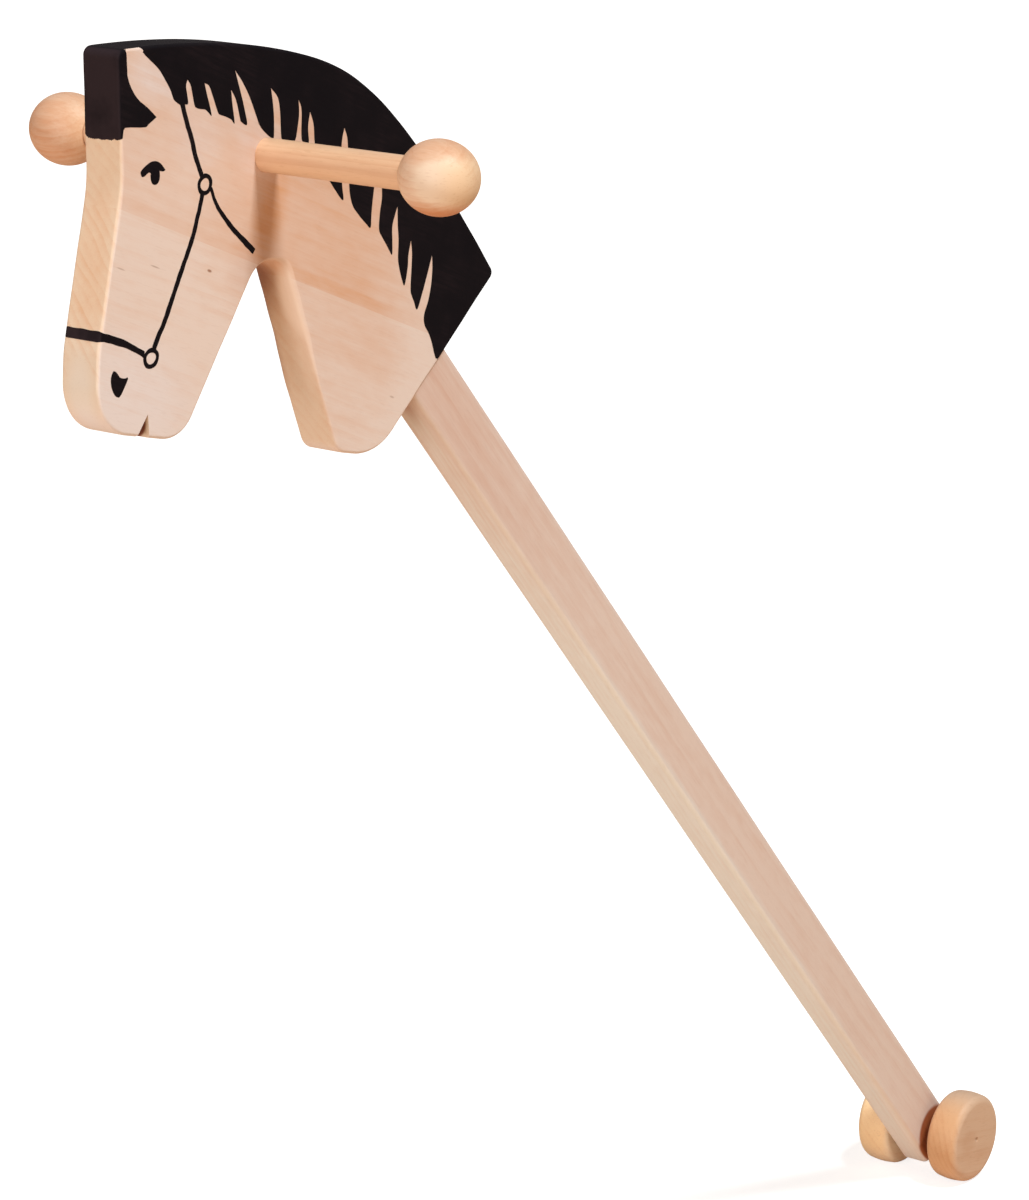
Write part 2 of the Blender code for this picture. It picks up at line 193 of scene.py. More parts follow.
class Mesh:
    """Meshes made of whole arrays of points."""

    @staticmethod
    def grid_faces(rows: int, columns: int, wrap_rows: bool = False, wrap_columns: bool = False) -> Array:
        """Return the quads of a grid of points, row by row.

        Args:
            rows: number of rows of points.
            columns: points in each row.
            wrap_rows: whether the last row joins the first.
            wrap_columns: whether the last column joins the first.

        Returns:
            An array of four point numbers for each quad.
        """
        row = np.arange(rows if wrap_rows else rows - 1)[:, None]
        column = np.arange(columns if wrap_columns else columns - 1)[None, :]
        next_row = (row + 1) % rows
        next_column = (column + 1) % columns
        corners = (
            row * columns + column,
            row * columns + next_column,
            next_row * columns + next_column,
            next_row * columns + column,
        )
        return np.stack(np.broadcast_arrays(*corners), axis=-1).reshape(-1, 4)

    @staticmethod
    def build(name: str, points: Array, faces: list) -> Object:
        """Make an object from points and faces, with its normals outward and its real corners sharp."""
        mesh = bpy.data.meshes.new(name)
        listed = [face for group in faces for face in np.asarray(group).tolist()]
        mesh.from_pydata(points.reshape(-1, 3).tolist(), [], listed)
        Mesh.finish(mesh)
        return show(name, mesh)

    @staticmethod
    def finish(mesh: bpy.types.Mesh) -> None:
        """Turn a mesh's normals outward and shade it smooth up to a corner angle."""
        solid = bmesh.new()
        solid.from_mesh(mesh)
        bmesh.ops.remove_doubles(solid, verts=solid.verts, dist=0.0005 * MM)
        bmesh.ops.recalc_face_normals(solid, faces=solid.faces)
        solid.to_mesh(mesh)
        solid.free()
        mesh.shade_smooth()
        mesh.set_sharp_from_angle(angle=math.radians(CORNER_DEGREES))

    @staticmethod
    def film(name: str, top: Array, bottom: Array, wrap_rows: bool = False) -> Object:
        """Close two matching grids of points into one thin shell.

        Args:
            name: the new object's name.
            top: outer points as rows x columns x 3.
            bottom: inner points, the same shape.
            wrap_rows: whether the last row joins the first, as on a ring.

        Returns:
            The shell's object.
        """
        rows, columns = top.shape[:2]
        points = np.concatenate([top, bottom[:, ::-1]], axis=1)
        faces = [Mesh.grid_faces(rows, 2 * columns, wrap_rows, True)]
        if not wrap_rows:
            column = np.arange(columns - 1)
            other = 2 * columns - 1 - column
            end = np.stack([column, column + 1, other - 1, other], axis=1)
            faces += [end, end + (rows - 1) * 2 * columns]
        return Mesh.build(name, points, faces)

    @staticmethod
    def slab(name: str, outer: Array, inner: Array) -> Object:
        """Close two matching loops of points into one solid with flat faces."""
        count = len(outer)
        points = np.concatenate([outer, inner])
        rim = np.arange(count)
        return Mesh.build(name, points, [Mesh.grid_faces(2, count, wrap_columns=True), [rim], [rim + count]])

    @staticmethod
    def lathe(name: str, profile: Array, centre: Vector, axis: Vector, facets: int) -> Object:
        """Turn a profile of (radius, height) points round an axis.

        Args:
            name: the new object's name.
            profile: points from the outer end's middle to the inner end's middle, both at radius 0.
            centre: where height 0 lies on the axis.
            axis: unit direction of growing height.
            facets: flats round the axis.

        Returns:
            The turned object.
        """
        across = axis.orthogonal().normalized()
        other = axis.cross(across)
        angle = np.linspace(0, FULL_TURN, facets, endpoint=False)[None, :, None]
        radius, height = profile[:, 0][:, None, None], profile[:, 1][:, None, None]
        points = (
            np.array(centre)
            + radius * (np.cos(angle) * np.array(across) + np.sin(angle) * np.array(other))
            + height * np.array(axis)
        )
        return Mesh.build(name, points, [Mesh.grid_faces(len(profile), facets, wrap_columns=True)])

    @staticmethod
    def cut(obj: Object, cutters: list) -> None:
        """Cut solids out of an object for good, and let its large flats decide its shading."""
        for cutter in cutters:
            boolean = obj.modifiers.new(cutter.name, 'BOOLEAN')
            boolean.operation = 'DIFFERENCE'
            boolean.solver = 'EXACT'
            boolean.object = cutter
        bpy.context.view_layer.update()
        evaluated = obj.evaluated_get(bpy.context.evaluated_depsgraph_get())
        mesh = bpy.data.meshes.new_from_object(evaluated)
        obj.modifiers.clear()
        obj.data = mesh
        for cutter in cutters:
            bpy.data.objects.remove(cutter, do_unlink=True)
        Mesh.finish(mesh)
        weighted = obj.modifiers.new("weighted_normals", 'WEIGHTED_NORMAL')
        weighted.keep_sharp = True
        weighted.weight = 100


def drill(name: str, diameter: float, centre: Vector, axis: Vector, length: float) -> Object:
    """Make the solid that a drill takes out."""
    radius, half = diameter / 2, length / 2
    profile = np.array([(0, half), (radius, half), (radius, -half), (0, -half)])
    return Mesh.lathe(name, profile, centre, axis, 96)


class Graph:
    """Adds nodes to a node tree and joins them by their sockets."""

    def __init__(self, tree: bpy.types.NodeTree) -> None:
        """Hold the tree that the nodes go in."""
        self.tree = tree

    def node(self, kind: str, **settings: object) -> Node:
        """Add a node and set its properties."""
        made = self.tree.nodes.new(kind)
        for name, value in settings.items():
            setattr(made, name, value)
        return made

    def feed(self, socket: Socket, value: Value) -> None:
        """Link a socket, or set its value if the value isn't a socket."""
        if isinstance(value, Socket):
            self.tree.links.new(value, socket)
        else:
            socket.default_value = value

    def fill(self, node: Node, **values: Value) -> Node:
        """Feed a node's sockets, named with spaces as underscores."""
        for name, value in values.items():
            self.feed(node.inputs[name.replace("_", " ")], value)
        return node

    def maths(self, operation: str, *values: Value, clamp: bool = False) -> Socket:
        """Return the result of one step of arithmetic."""
        made = self.node("ShaderNodeMath", operation=operation, use_clamp=clamp)
        for socket, value in zip(made.inputs, values):
            self.feed(socket, value)
        return made.outputs[0]

    def plus(self, first: Value, second: Value) -> Socket:
        """Return a sum."""
        return self.maths("ADD", first, second)

    def minus(self, first: Value, second: Value) -> Socket:
        """Return a difference."""
        return self.maths("SUBTRACT", first, second)

    def times(self, first: Value, second: Value) -> Socket:
        """Return a product."""
        return self.maths("MULTIPLY", first, second)

    def vector(self, operation: str, *values: Value) -> Node:
        """Return a node that does one step of vector arithmetic."""
        made = self.node("ShaderNodeVectorMath", operation=operation)
        for socket, value in zip(made.inputs, values):
            self.feed(socket, value)
        return made

    def dot(self, first: Value, second: Vector) -> Socket:
        """Return how far a vector reaches along a direction."""
        return self.vector("DOT_PRODUCT", first, tuple(second)).outputs["Value"]

    def along(self, place: Socket, directions: tuple) -> Socket:
        """Return a place as its distances along three directions."""
        made = self.node("ShaderNodeCombineXYZ")
        for socket, direction in zip(made.inputs, directions):
            self.feed(socket, self.dot(place, direction))
        return made.outputs[0]

    def noise(self, place: Value, detail: float = 2, roughness: float = 0.5, scale: float = 1) -> Socket:
        """Return a noise value between 0 and 1 at a place."""
        made = self.node("ShaderNodeTexNoise", noise_dimensions='3D')
        return self.fill(made, Vector=place, Scale=scale, Detail=detail, Roughness=roughness).outputs["Fac"]

    def streaks(self, place: Value, stretch: Triple, detail: float = 2, roughness: float = 0.5) -> Socket:
        """Return a noise value at a place that is stretched first."""
        return self.noise(self.vector("MULTIPLY", place, stretch).outputs[0], detail, roughness)

    def remap(self, value: Value, low: Value, high: float, to_low: float = 0, to_high: float = 1) -> Socket:
        """Return a value eased from one range to another."""
        made = self.node("ShaderNodeMapRange", interpolation_type='SMOOTHSTEP')
        for socket, given in zip(made.inputs, (value, low, high, to_low, to_high)):
            self.feed(socket, given)
        return made.outputs[0]

    def blend(self, share: Value, first: Value, second: Value, kind: str = 'MIX') -> Socket:
        """Return a mix of two colours."""
        made = self.node("ShaderNodeMix", data_type='RGBA', blend_type=kind, clamp_factor=True)
        for place, value in ((0, share), (6, first), (7, second)):
            self.feed(made.inputs[place], value)
        return made.outputs[2]

    def group(self, tree: bpy.types.NodeTree, **values: Value) -> Node:
        """Add a shared node group and feed its sockets."""
        return self.fill(self.node("ShaderNodeGroup", node_tree=tree), **values)

    def bump(self, height: Socket, strength: float, distance: float) -> Socket:
        """Return the normal of a surface raised by a height, over a distance in mm."""
        made = self.node("ShaderNodeBump")
        return self.fill(made, Strength=strength, Distance=distance * MM, Height=height).outputs[0]


def start_material(name: str) -> tuple[bpy.types.Material, Graph, Node]:
    """Return a new material with its graph and its shader."""
    material = bpy.data.materials.new(name)
    material.use_nodes = True
    return material, Graph(material.node_tree), material.node_tree.nodes["Principled BSDF"]


class Shared:
    """Node groups that several materials use."""

    def __init__(self) -> None:
        """Build each group once."""
        self.figure = self.make_figure()
        self.mark = self.make_mark()

    @staticmethod
    def start(name: str, takes: dict, gives: dict) -> tuple[Graph, Node, Node]:
        """Open a new node group with named sockets.

        Args:
            name: the group's name.
            takes: input names with their socket kinds.
            gives: output names with their socket kinds.

        Returns:
            The graph to build in, its input node and its output node.
        """
        tree = bpy.data.node_groups.new(name, "ShaderNodeTree")
        for direction, sockets in (("INPUT", takes), ("OUTPUT", gives)):
            for label, kind in sockets.items():
                tree.interface.new_socket(name=label, in_out=direction, socket_type="NodeSocket" + kind)
        graph = Graph(tree)
        return graph, graph.node("NodeGroupInput"), graph.node("NodeGroupOutput")

    def make_figure(self) -> bpy.types.NodeTree:
        """Build the figure of wood.

        It takes a place as metres along the grain, across it and through it, and the pith's place.
        Growth rings: darkness = the last part of distance to the pith / ring width, after a slow warp.
        """
        takes = {"Grain Place": "Vector", "Pith": "Vector", "Ring Width": "Float"}
        gives = {"Rings": "Float", "Fibres": "Float", "Flecks": "Float", "Clouds": "Float", "Pores": "Float"}
        graph, given, result = self.start("wood_figure", takes, gives)
        place = given.outputs["Grain Place"]

        warp = graph.times(graph.minus(graph.streaks(place, (2.5, 22, 22)), 0.5), 0.011)
        offset = graph.vector("SUBTRACT", place, given.outputs["Pith"]).outputs[0]
        flat = graph.vector("MULTIPLY", offset, (0, 1, 1)).outputs[0]
        distance = graph.plus(graph.vector("LENGTH", flat).outputs["Value"], warp)
        turns = graph.maths("DIVIDE", distance, given.outputs["Ring Width"])
        phase = graph.maths("FRACT", turns)
        rise = graph.remap(phase, 0.25, 0.93)
        fall = graph.remap(phase, 0.93, 1.0, 1, 0)
        year = graph.times(graph.maths("FLOOR", turns), 7.31)
        strength = graph.remap(graph.streaks(place, (6, 30, 30), 1), 0.3, 0.7, 0.35, 1)
        yearly = graph.maths("FRACT", graph.times(graph.maths("SINE", year), 43.7))
        yearly = graph.maths("MULTIPLY_ADD", yearly, 0.7, 0.3)
        rings = graph.times(graph.times(rise, fall), graph.times(strength, yearly))

        fine = graph.times(graph.streaks(place, (45, 1300, 1300)), 0.45)
        fibres = graph.plus(fine, graph.times(graph.streaks(place, (14, 260, 260), 3, 0.6), 0.55))
        dashes = graph.streaks(place, (210, 1700, 900), 0)
        flecks = graph.remap(dashes, 0.66, 0.76)
        broad = graph.streaks(place, (7, 34, 34), 3)
        mottle = graph.streaks(place, (70, 190, 190), 2)
        clouds = graph.times(graph.plus(broad, mottle), 0.5)
        pores = graph.streaks(place, (500, 4200, 4200), 1)

        graph.fill(result, Rings=rings, Fibres=fibres, Flecks=flecks, Clouds=clouds, Pores=pores)
        return graph.tree

    def make_mark(self) -> bpy.types.NodeTree:
        """Build an oval mark: 1 in its middle, easing from a share of its half sizes to 0 at its edge."""
        takes = {"Place": "Vector", "Middle": "Vector", "Half Size": "Vector", "Ease From": "Float"}
        graph, given, result = self.start("oval_mark", takes, {"Mark": "Float"})
        away = graph.vector("SUBTRACT", given.outputs["Place"], given.outputs["Middle"]).outputs[0]
        share = graph.vector("DIVIDE", away, given.outputs["Half Size"]).outputs[0]
        length = graph.vector("LENGTH", share).outputs["Value"]
        graph.fill(result, Mark=graph.remap(length, given.outputs["Ease From"], 1, 1, 0))
        return graph.tree


@dataclass(frozen=True)
class Oval:
    """An oval mark inside the wood, in mm along, across and through the grain from the finish's centre."""

    middle: Triple
    half_size: Triple
    strength: float
    stain: Stain = Stain.TONE
    ease_from: float = 0.35


@dataclass(frozen=True)
class WoodFinish:
    """How one kind of wooden piece looks, with its colours in 0-255 sRGB.

    The grain runs along `along`, `through` is the board's thickness, and the pith lies at `pith` mm
    across and through from the centre. A board glued up from two staves changes tone at `glue_line` mm
    across, where `upper_tone` ends, and on other pieces `upper_tone` darkens the whole. A painted highlight
    blends the rounded, sanded arrises towards `arris`, by `arris_highlight_share`. `scorch` is the
    colour of the wheels' lathe burn mark and of painted shade where parts meet and in shaded hollows.
    It and the tint multiply the colour, so that a value above 255 lightens it.
    """

    name: str
    pale: Colour
    dark: Colour
    end: Colour
    fleck: Colour
    along: Triple
    through: Triple = (0, 1, 0)
    pith: Place = (40, 160)
    ring_width: float = 3.2
    ring_share: float = 0.5
    fibre_share: float = 0.35
    cloud_share: float = 0.3
    fleck_share: float = 0.12
    roughness: float = 0.5
    specular: float = 0.5
    coat: float = 0.12
    bump: float = 0.12
    centre: Triple = tuple(HANDLE_AXIS)
    glue_line: float = 1000
    upper_tone: float = 0
    end_ring_share: float = 0
    # Colour of the painted highlight along the arrises, and of the painted light on sawn edges.
    arris: Colour = (246, 220, 200)
    arris_highlight_share: float = 0
    ovals: tuple[Oval, ...] = ()
    scorch: Colour = (200, 120, 70)
    tint: Colour = (256, 267, 280)
    coat_roughness: float = 0.55
    body: Body = Body.HORSE


@dataclass
class WoodMaker:
    """Turns wood finishes into materials."""

    shared: Shared
    stave_shift: Triple = (0.11, 0.0, 0.047)
    bump_distance: float = 0.15

    def make(self, finish: WoodFinish) -> bpy.types.Material:
        """Build the material of one wood finish.

        Args:
            finish: its colours, grain direction and gloss.

        Returns:
            The new material.
        """
        material, graph, shader = start_material(finish.name)
        coordinates = graph.node("ShaderNodeTexCoord").outputs
        along = Vector(finish.along).normalized()
        through = Vector(finish.through).normalized()
        across = through.cross(along).normalized()
        local = graph.vector("SUBTRACT", coordinates["Object"], finish.centre).outputs[0]
        place = graph.along(local, (along, across, through))
        split = graph.fill(graph.node("ShaderNodeSeparateXYZ"), Vector=place)
        lower = graph.maths("GREATER_THAN", split.outputs["Y"], finish.glue_line * MM)
        shift = graph.fill(graph.vector("SCALE", self.stave_shift), Scale=lower).outputs[0]
        figure = graph.group(
            self.shared.figure, Grain_Place=graph.vector("ADD", place, shift).outputs[0],
            Pith=(0, finish.pith[0] * MM, finish.pith[1] * MM), Ring_Width=finish.ring_width * MM,
        ).outputs

        facing = graph.maths("ABSOLUTE", graph.dot(coordinates["Normal"], along))
        end_grain = graph.remap(facing, 0.25, 0.95)
        ring_share = graph.maths("MULTIPLY_ADD", end_grain, finish.end_ring_share, finish.ring_share)
        tone = graph.times(figure["Rings"], ring_share)
        for value, share in ((figure["Fibres"], finish.fibre_share), (figure["Clouds"], finish.cloud_share)):
            tone = graph.plus(tone, graph.times(graph.minus(value, 0.5), share * 2))
        stave = graph.maths("MULTIPLY_ADD", lower, -finish.upper_tone, finish.upper_tone)
        tone = graph.plus(tone, graph.times(stave, graph.minus(1, end_grain)))
        tone = self.total(graph, place, finish, Stain.TONE, tone)
        tone = graph.maths("MAXIMUM", tone, 0, clamp=True)
        colour = graph.blend(tone, linear(finish.pale), linear(finish.dark))
        colour = graph.blend(end_grain, colour, graph.blend(1.0, colour, linear(finish.end), 'MULTIPLY'))
        beside = graph.maths("ABSOLUTE", graph.dot(coordinates["Normal"], through))
        # Painted highlight: the mask peaks where the normal turns between the face and the edge, along the
        # rounded arrises.
        arris = graph.times(graph.remap(beside, 0.5, 0.8), graph.remap(beside, 0.97, 1, 1, 0))
        arris_highlight_share = self.total(graph, place, finish, Stain.ARRIS, finish.arris_highlight_share)
        arris = graph.times(arris, graph.maths("MAXIMUM", arris_highlight_share, 0))
        colour = graph.blend(arris, colour, linear(finish.arris))
        fleck = graph.times(figure["Flecks"], finish.fleck_share)
        colour = graph.blend(fleck, colour, linear(finish.fleck))
        edge = graph.remap(beside, 0.7, 0.98, 1, 0)
        # Flecks and tints are the wood's own. Scorch-and-shade ovals are the wheels' lathe mark and painted
        # shade elsewhere. Edge-shade ovals are painted shade on sawn edges, and edge-light ovals painted
        # light on them.
        stains = {
            Stain.FLECK: (finish.fleck, 'MIX'), Stain.TINT: (finish.tint, 'MULTIPLY'),
            Stain.SCORCH: (finish.scorch, 'MULTIPLY'), Stain.SAWN: (finish.scorch, 'MULTIPLY'),
            Stain.SANDED: (finish.arris, 'MIX'),
        }
        for oval in finish.ovals:
            if oval.stain in stains:
                stain, kind = stains[oval.stain]
                mask = self.mask(graph, place, oval)
                if oval.stain in (Stain.SAWN, Stain.SANDED):
                    mask = graph.times(mask, edge)
                colour = graph.blend(mask, colour, linear(stain), kind)

        rough = graph.maths("MULTIPLY_ADD", figure["Fibres"], 0.16, finish.roughness - 0.08)
        height = graph.plus(graph.times(figure["Fibres"], 0.7), graph.times(figure["Pores"], 0.3))
        graph.fill(
            shader, Base_Color=colour, Roughness=rough, Specular_IOR_Level=finish.specular,
            Coat_Weight=finish.coat, Coat_Roughness=finish.coat_roughness,
            Normal=graph.bump(height, finish.bump, self.bump_distance),
        )
        return material

    def total(self, graph: Graph, place: Socket, finish: WoodFinish, stain: Stain, start: Value) -> Value:
        """Return a value with the strengths of a finish's ovals of one kind added to it."""
        for oval in finish.ovals:
            if oval.stain is stain:
                start = graph.plus(start, self.mask(graph, place, oval))
        return start

    def mask(self, graph: Graph, place: Socket, oval: Oval) -> Socket:
        """Return how strongly an oval marks a place."""
        middle, half_size = (tuple(value * MM for value in given) for given in (oval.middle, oval.half_size))
        mark = graph.group(
            self.shared.mark, Place=place, Middle=middle, Half_Size=half_size, Ease_From=oval.ease_from,
        )
        return graph.times(mark.outputs[0], oval.strength)


@dataclass(frozen=True)
class PaintFinish:
    """How the painted pieces look, with their colours in 0-255 sRGB."""

    name: str = "black_paint"
    deep: Colour = (15, 11, 15)
    worn: Colour = (30, 22, 25)
    front_brown: Colour = (45, 35, 38)
    roughness: float = 0.75
    along: Triple = GRAIN
    specular: float = 0.06
    bump: float = 0.25
    bump_distance: float = 0.12

    def make(self) -> bpy.types.Material:
        """Build the paint: near black and a little uneven, and browner on the end grain that faces forward
        along the grain.
        """
        material, graph, shader = start_material(self.name)
        coordinates = graph.node("ShaderNodeTexCoord").outputs
        along, through = Vector(self.along).normalized(), RIGHTWARD
        place = graph.along(coordinates["Object"], (along, through.cross(along), through))
        streaks = graph.streaks(place, (40, 700, 700), 3, 0.6)
        patches = graph.noise(coordinates["Object"], 3, 0.6, 45)
        share = graph.times(graph.remap(patches, 0.35, 0.75), graph.remap(streaks, 0.3, 0.75))
        colour = graph.blend(share, linear(self.deep), linear(self.worn))
        facing = graph.remap(graph.dot(coordinates["Normal"], -along), 0.5, 0.95)
        front_brown = graph.times(facing, graph.remap(patches, 0.3, 0.6, 0.45, 1))
        graph.fill(
            shader, Base_Color=graph.blend(front_brown, colour, linear(self.front_brown)),
            Roughness=graph.maths("MULTIPLY_ADD", streaks, 0.25, self.roughness - 0.12),
            Specular_IOR_Level=self.specular, Normal=graph.bump(streaks, self.bump, self.bump_distance),
        )
        return material


@dataclass(frozen=True)
class Corner:
    """A rounded corner of the sawn outline."""

    x: float
    z: float
    radius: float

    @property
    def place(self) -> Array:
        """Return the corner's place before it is rounded."""
        return np.array([self.x, self.z])


@dataclass
class Board:
    """The head's board: a rounded edge that runs round its sawn outline."""

    thickness: float = 22
    edge_radius: float = 1.6
    neck_radius: float = 4.6
    neck_rise: float = 12
    neck_fall: float = 46
    neck_end: float = 78
    spacing: float = 0.8
    forehead: Corner = Corner(-99.3, 59.9, 4)
    brow: Corner = Corner(-99.1, -0.7, 60)
    nose: Corner = Corner(-117.6, -74.0, 50)
    muzzle: Corner = Corner(-120.0, -108.6, 25)
    chin: Corner = Corner(-62.6, -123.3, 20)
    throat: Corner = Corner(5.2, -32.9, 16)
    neck_foot: Corner = Corner(49.8, -150.4, 10)
    neck_heel: Corner = Corner(79.9, -158.0, 35)
    mane_tip: Corner = Corner(174.6, -82.9, 3.5)
    crest: tuple = (
        (171.8, -79.3, 127.5), (105.7, -2.9, 136), (66.2, 27.9, 149.5), (20.1, 45.3, 165.4),
        (-93.5, 59.9, 178.5),
    )

    def __post_init__(self) -> None:
        """Sample the outline once, evenly, with its outward directions and its edge radius."""
        loop = np.vstack([self.outline(), self.outline()[:1]])
        self.line = Line.even(loop, self.spacing)[:-1]
        self.length = len(self.line) * np.linalg.norm(self.line[1] - self.line[0])
        self.run = np.arange(len(self.line)) * self.length / len(self.line)
        ahead = unit(np.roll(self.line, -1, axis=0) - np.roll(self.line, 1, axis=0))
        self.outward = np.stack([ahead[:, 1], -ahead[:, 0]], axis=1)
        self.radius = self.edge_radii()

    def fillet(self, before: Corner, corner: Corner, after: Corner) -> Array:
        """Return the arc that rounds a corner.

        It starts and ends at radius / tan(half the corner's angle) from the corner.
        """
        middle = corner.place
        back, ahead = unit(before.place - middle), unit(after.place - middle)
        half = math.acos(np.clip(back @ ahead, -1, 1)) / 2
        bisector = unit(back + ahead)
        centre = middle + bisector * corner.radius / math.sin(half)
        start = middle + back * corner.radius / math.tan(half) - centre
        end = middle + ahead * corner.radius / math.tan(half) - centre
        sweep = math.copysign(math.pi - 2 * half, start[0] * end[1] - start[1] * end[0])
        turn = np.linspace(0, sweep, 40)[:, None]
        return centre + start * np.cos(turn) + np.array([-start[1], start[0]]) * np.sin(turn)

    def crest_line(self) -> Array:
        """Return the crest as cubic curves whose handles reach a third of the way to the next knot."""
        knots = np.array(self.crest, float)
        start, end = knots[:-1, None, :2], knots[1:, None, :2]
        heading = np.radians(knots[:, 2])
        pointing = np.stack([np.cos(heading), np.sin(heading)], axis=1)
        reach = np.linalg.norm(end - start, axis=2, keepdims=True) / 3
        leave = start + reach * pointing[:-1, None]
        arrive = end - reach * pointing[1:, None]
        t = np.linspace(0, 1, 60, endpoint=False)[None, :, None]
        u = 1 - t
        curve = u**3 * start + 3 * u * u * t * leave + 3 * u * t * t * arrive + t**3 * end
        return np.vstack([curve.reshape(-1, 2), knots[-1:, :2]])

    def outline(self) -> Array:
        """Return the closed outline, from the forehead down the face and round to the crest."""
        crest = self.crest_line()
        first, last = Corner(*crest[0], 0), Corner(*crest[-1], 0)
        corners = [
            last, self.forehead, self.brow, self.nose, self.muzzle, self.chin, self.throat, self.neck_foot,
            self.neck_heel, self.mane_tip, first,
        ]
        arcs = [self.fillet(*trio) for trio in zip(corners, corners[1:], corners[2:])]
        return np.vstack([*arcs, crest[:-1]])

    def edge_radii(self) -> Array:
        """Return the edge's rounding along the outline: sanded by hand, and broader below the throat."""
        below = self.run - self.locate((self.throat.x - 2, self.throat.z - 9))
        foot = self.locate((self.neck_foot.x - 2, self.neck_foot.z + 8)) - self.run
        into = np.clip(below / self.neck_rise, 0, 1)
        out = np.clip((self.neck_end - below) / self.neck_fall, 0, 1)
        broad = into * into * (3 - 2 * into) * out * out * (3 - 2 * out)
        uneven = np.where((below > 0) & (foot > 0), np.minimum(1, np.minimum(below, foot) / 10), 0)
        wave = waves(self.run, (0.22, 7.3, 0), (0.16, 3.1, 1), (0.14, 17.9, 2))
        sanding = waves(self.run, (0.12, 9.7, 0), (0.08, 4.3, 2))
        return self.edge_radius + sanding + broad * (self.neck_radius - self.edge_radius) + uneven * wave

    def locate(self, place: Place, past: float = 0) -> float:
        """Return how far along the outline the point nearest to a place is, past a distance already gone."""
        distance = np.linalg.norm(self.line - np.array(place), axis=1)
        run = float(self.run[np.argmin(distance)])
        return run + self.length if run < past else run

    def at(self, run: Array) -> tuple[Array, Array, Array]:
        """Return the outline's place, outward direction and edge radius at distances along it."""
        turns = np.append(self.run, self.length)
        wrap = np.mod(run, self.length)

        def sample(values: Array) -> Array:
            """Interpolate one value round the closed outline."""
            return np.interp(wrap, turns, np.append(values, values[0]))

        place, outward = (
            np.stack([sample(column) for column in values.T], axis=-1)
            for values in (self.line, self.outward)
        )
        return place, unit(outward), sample(self.radius)

    def surface(self, run: Array, across: Array, lift: float = 0) -> Array:
        """Return points of the rounded edge and the sides next to it.

        Args:
            run: distance along the outline, in mm.
            across: distance over the edge from its middle, in mm, positive to the right side.
            lift: height above the wood, in mm.

        Returns:
            World places in metres.
        """
        run, across = np.broadcast_arrays(run, across)
        place, outward, radius = self.at(run)
        half = self.thickness / 2 - radius
        beyond = np.clip(np.abs(across) - half, 0, None)
        angle = np.minimum(beyond / radius, QUARTER_TURN)
        rest = np.clip(beyond - radius * QUARTER_TURN, 0, None)
        depth = radius * (1 - np.cos(angle)) + rest - lift * np.cos(angle)
        flat = place - outward * depth[..., None]
        sign = np.sign(across)
        y = sign * (np.minimum(np.abs(across), half) + (radius + lift) * np.sin(angle))
        return self.world(np.stack([flat[..., 0], y, flat[..., 1]], axis=-1))

    def arris(self, run: Array, angle: Array | float) -> Array:
        """Return the distance over the edge at which its rounding has turned by an angle."""
        radius = self.at(run)[2]
        return self.thickness / 2 - radius + radius * angle

    @staticmethod
    def world(places: Array) -> Array:
        """Turn places in mm from the handle's axis into world metres."""
        return places * MM + np.array([HANDLE_AXIS.x, 0, HANDLE_AXIS.z])

    def on_side(self, places: Array, side: Side, lift: float) -> Array:
        """Return world places on one side of the board at a height above it."""
        y = np.full(len(places), side.value * (self.thickness / 2 + lift))
        return self.world(np.stack([places[:, 0], y, places[:, 1]], axis=1))

    def inset(self, start: float, end: float, depth: float) -> Array:
        """Return the line at a depth inside the rounded edge, between two distances along the outline."""
        run = np.linspace(start, end, max(2, math.ceil(abs(end - start) / self.spacing)))
        place, outward, radius = self.at(run)
        return place - outward * (radius + depth)[:, None]


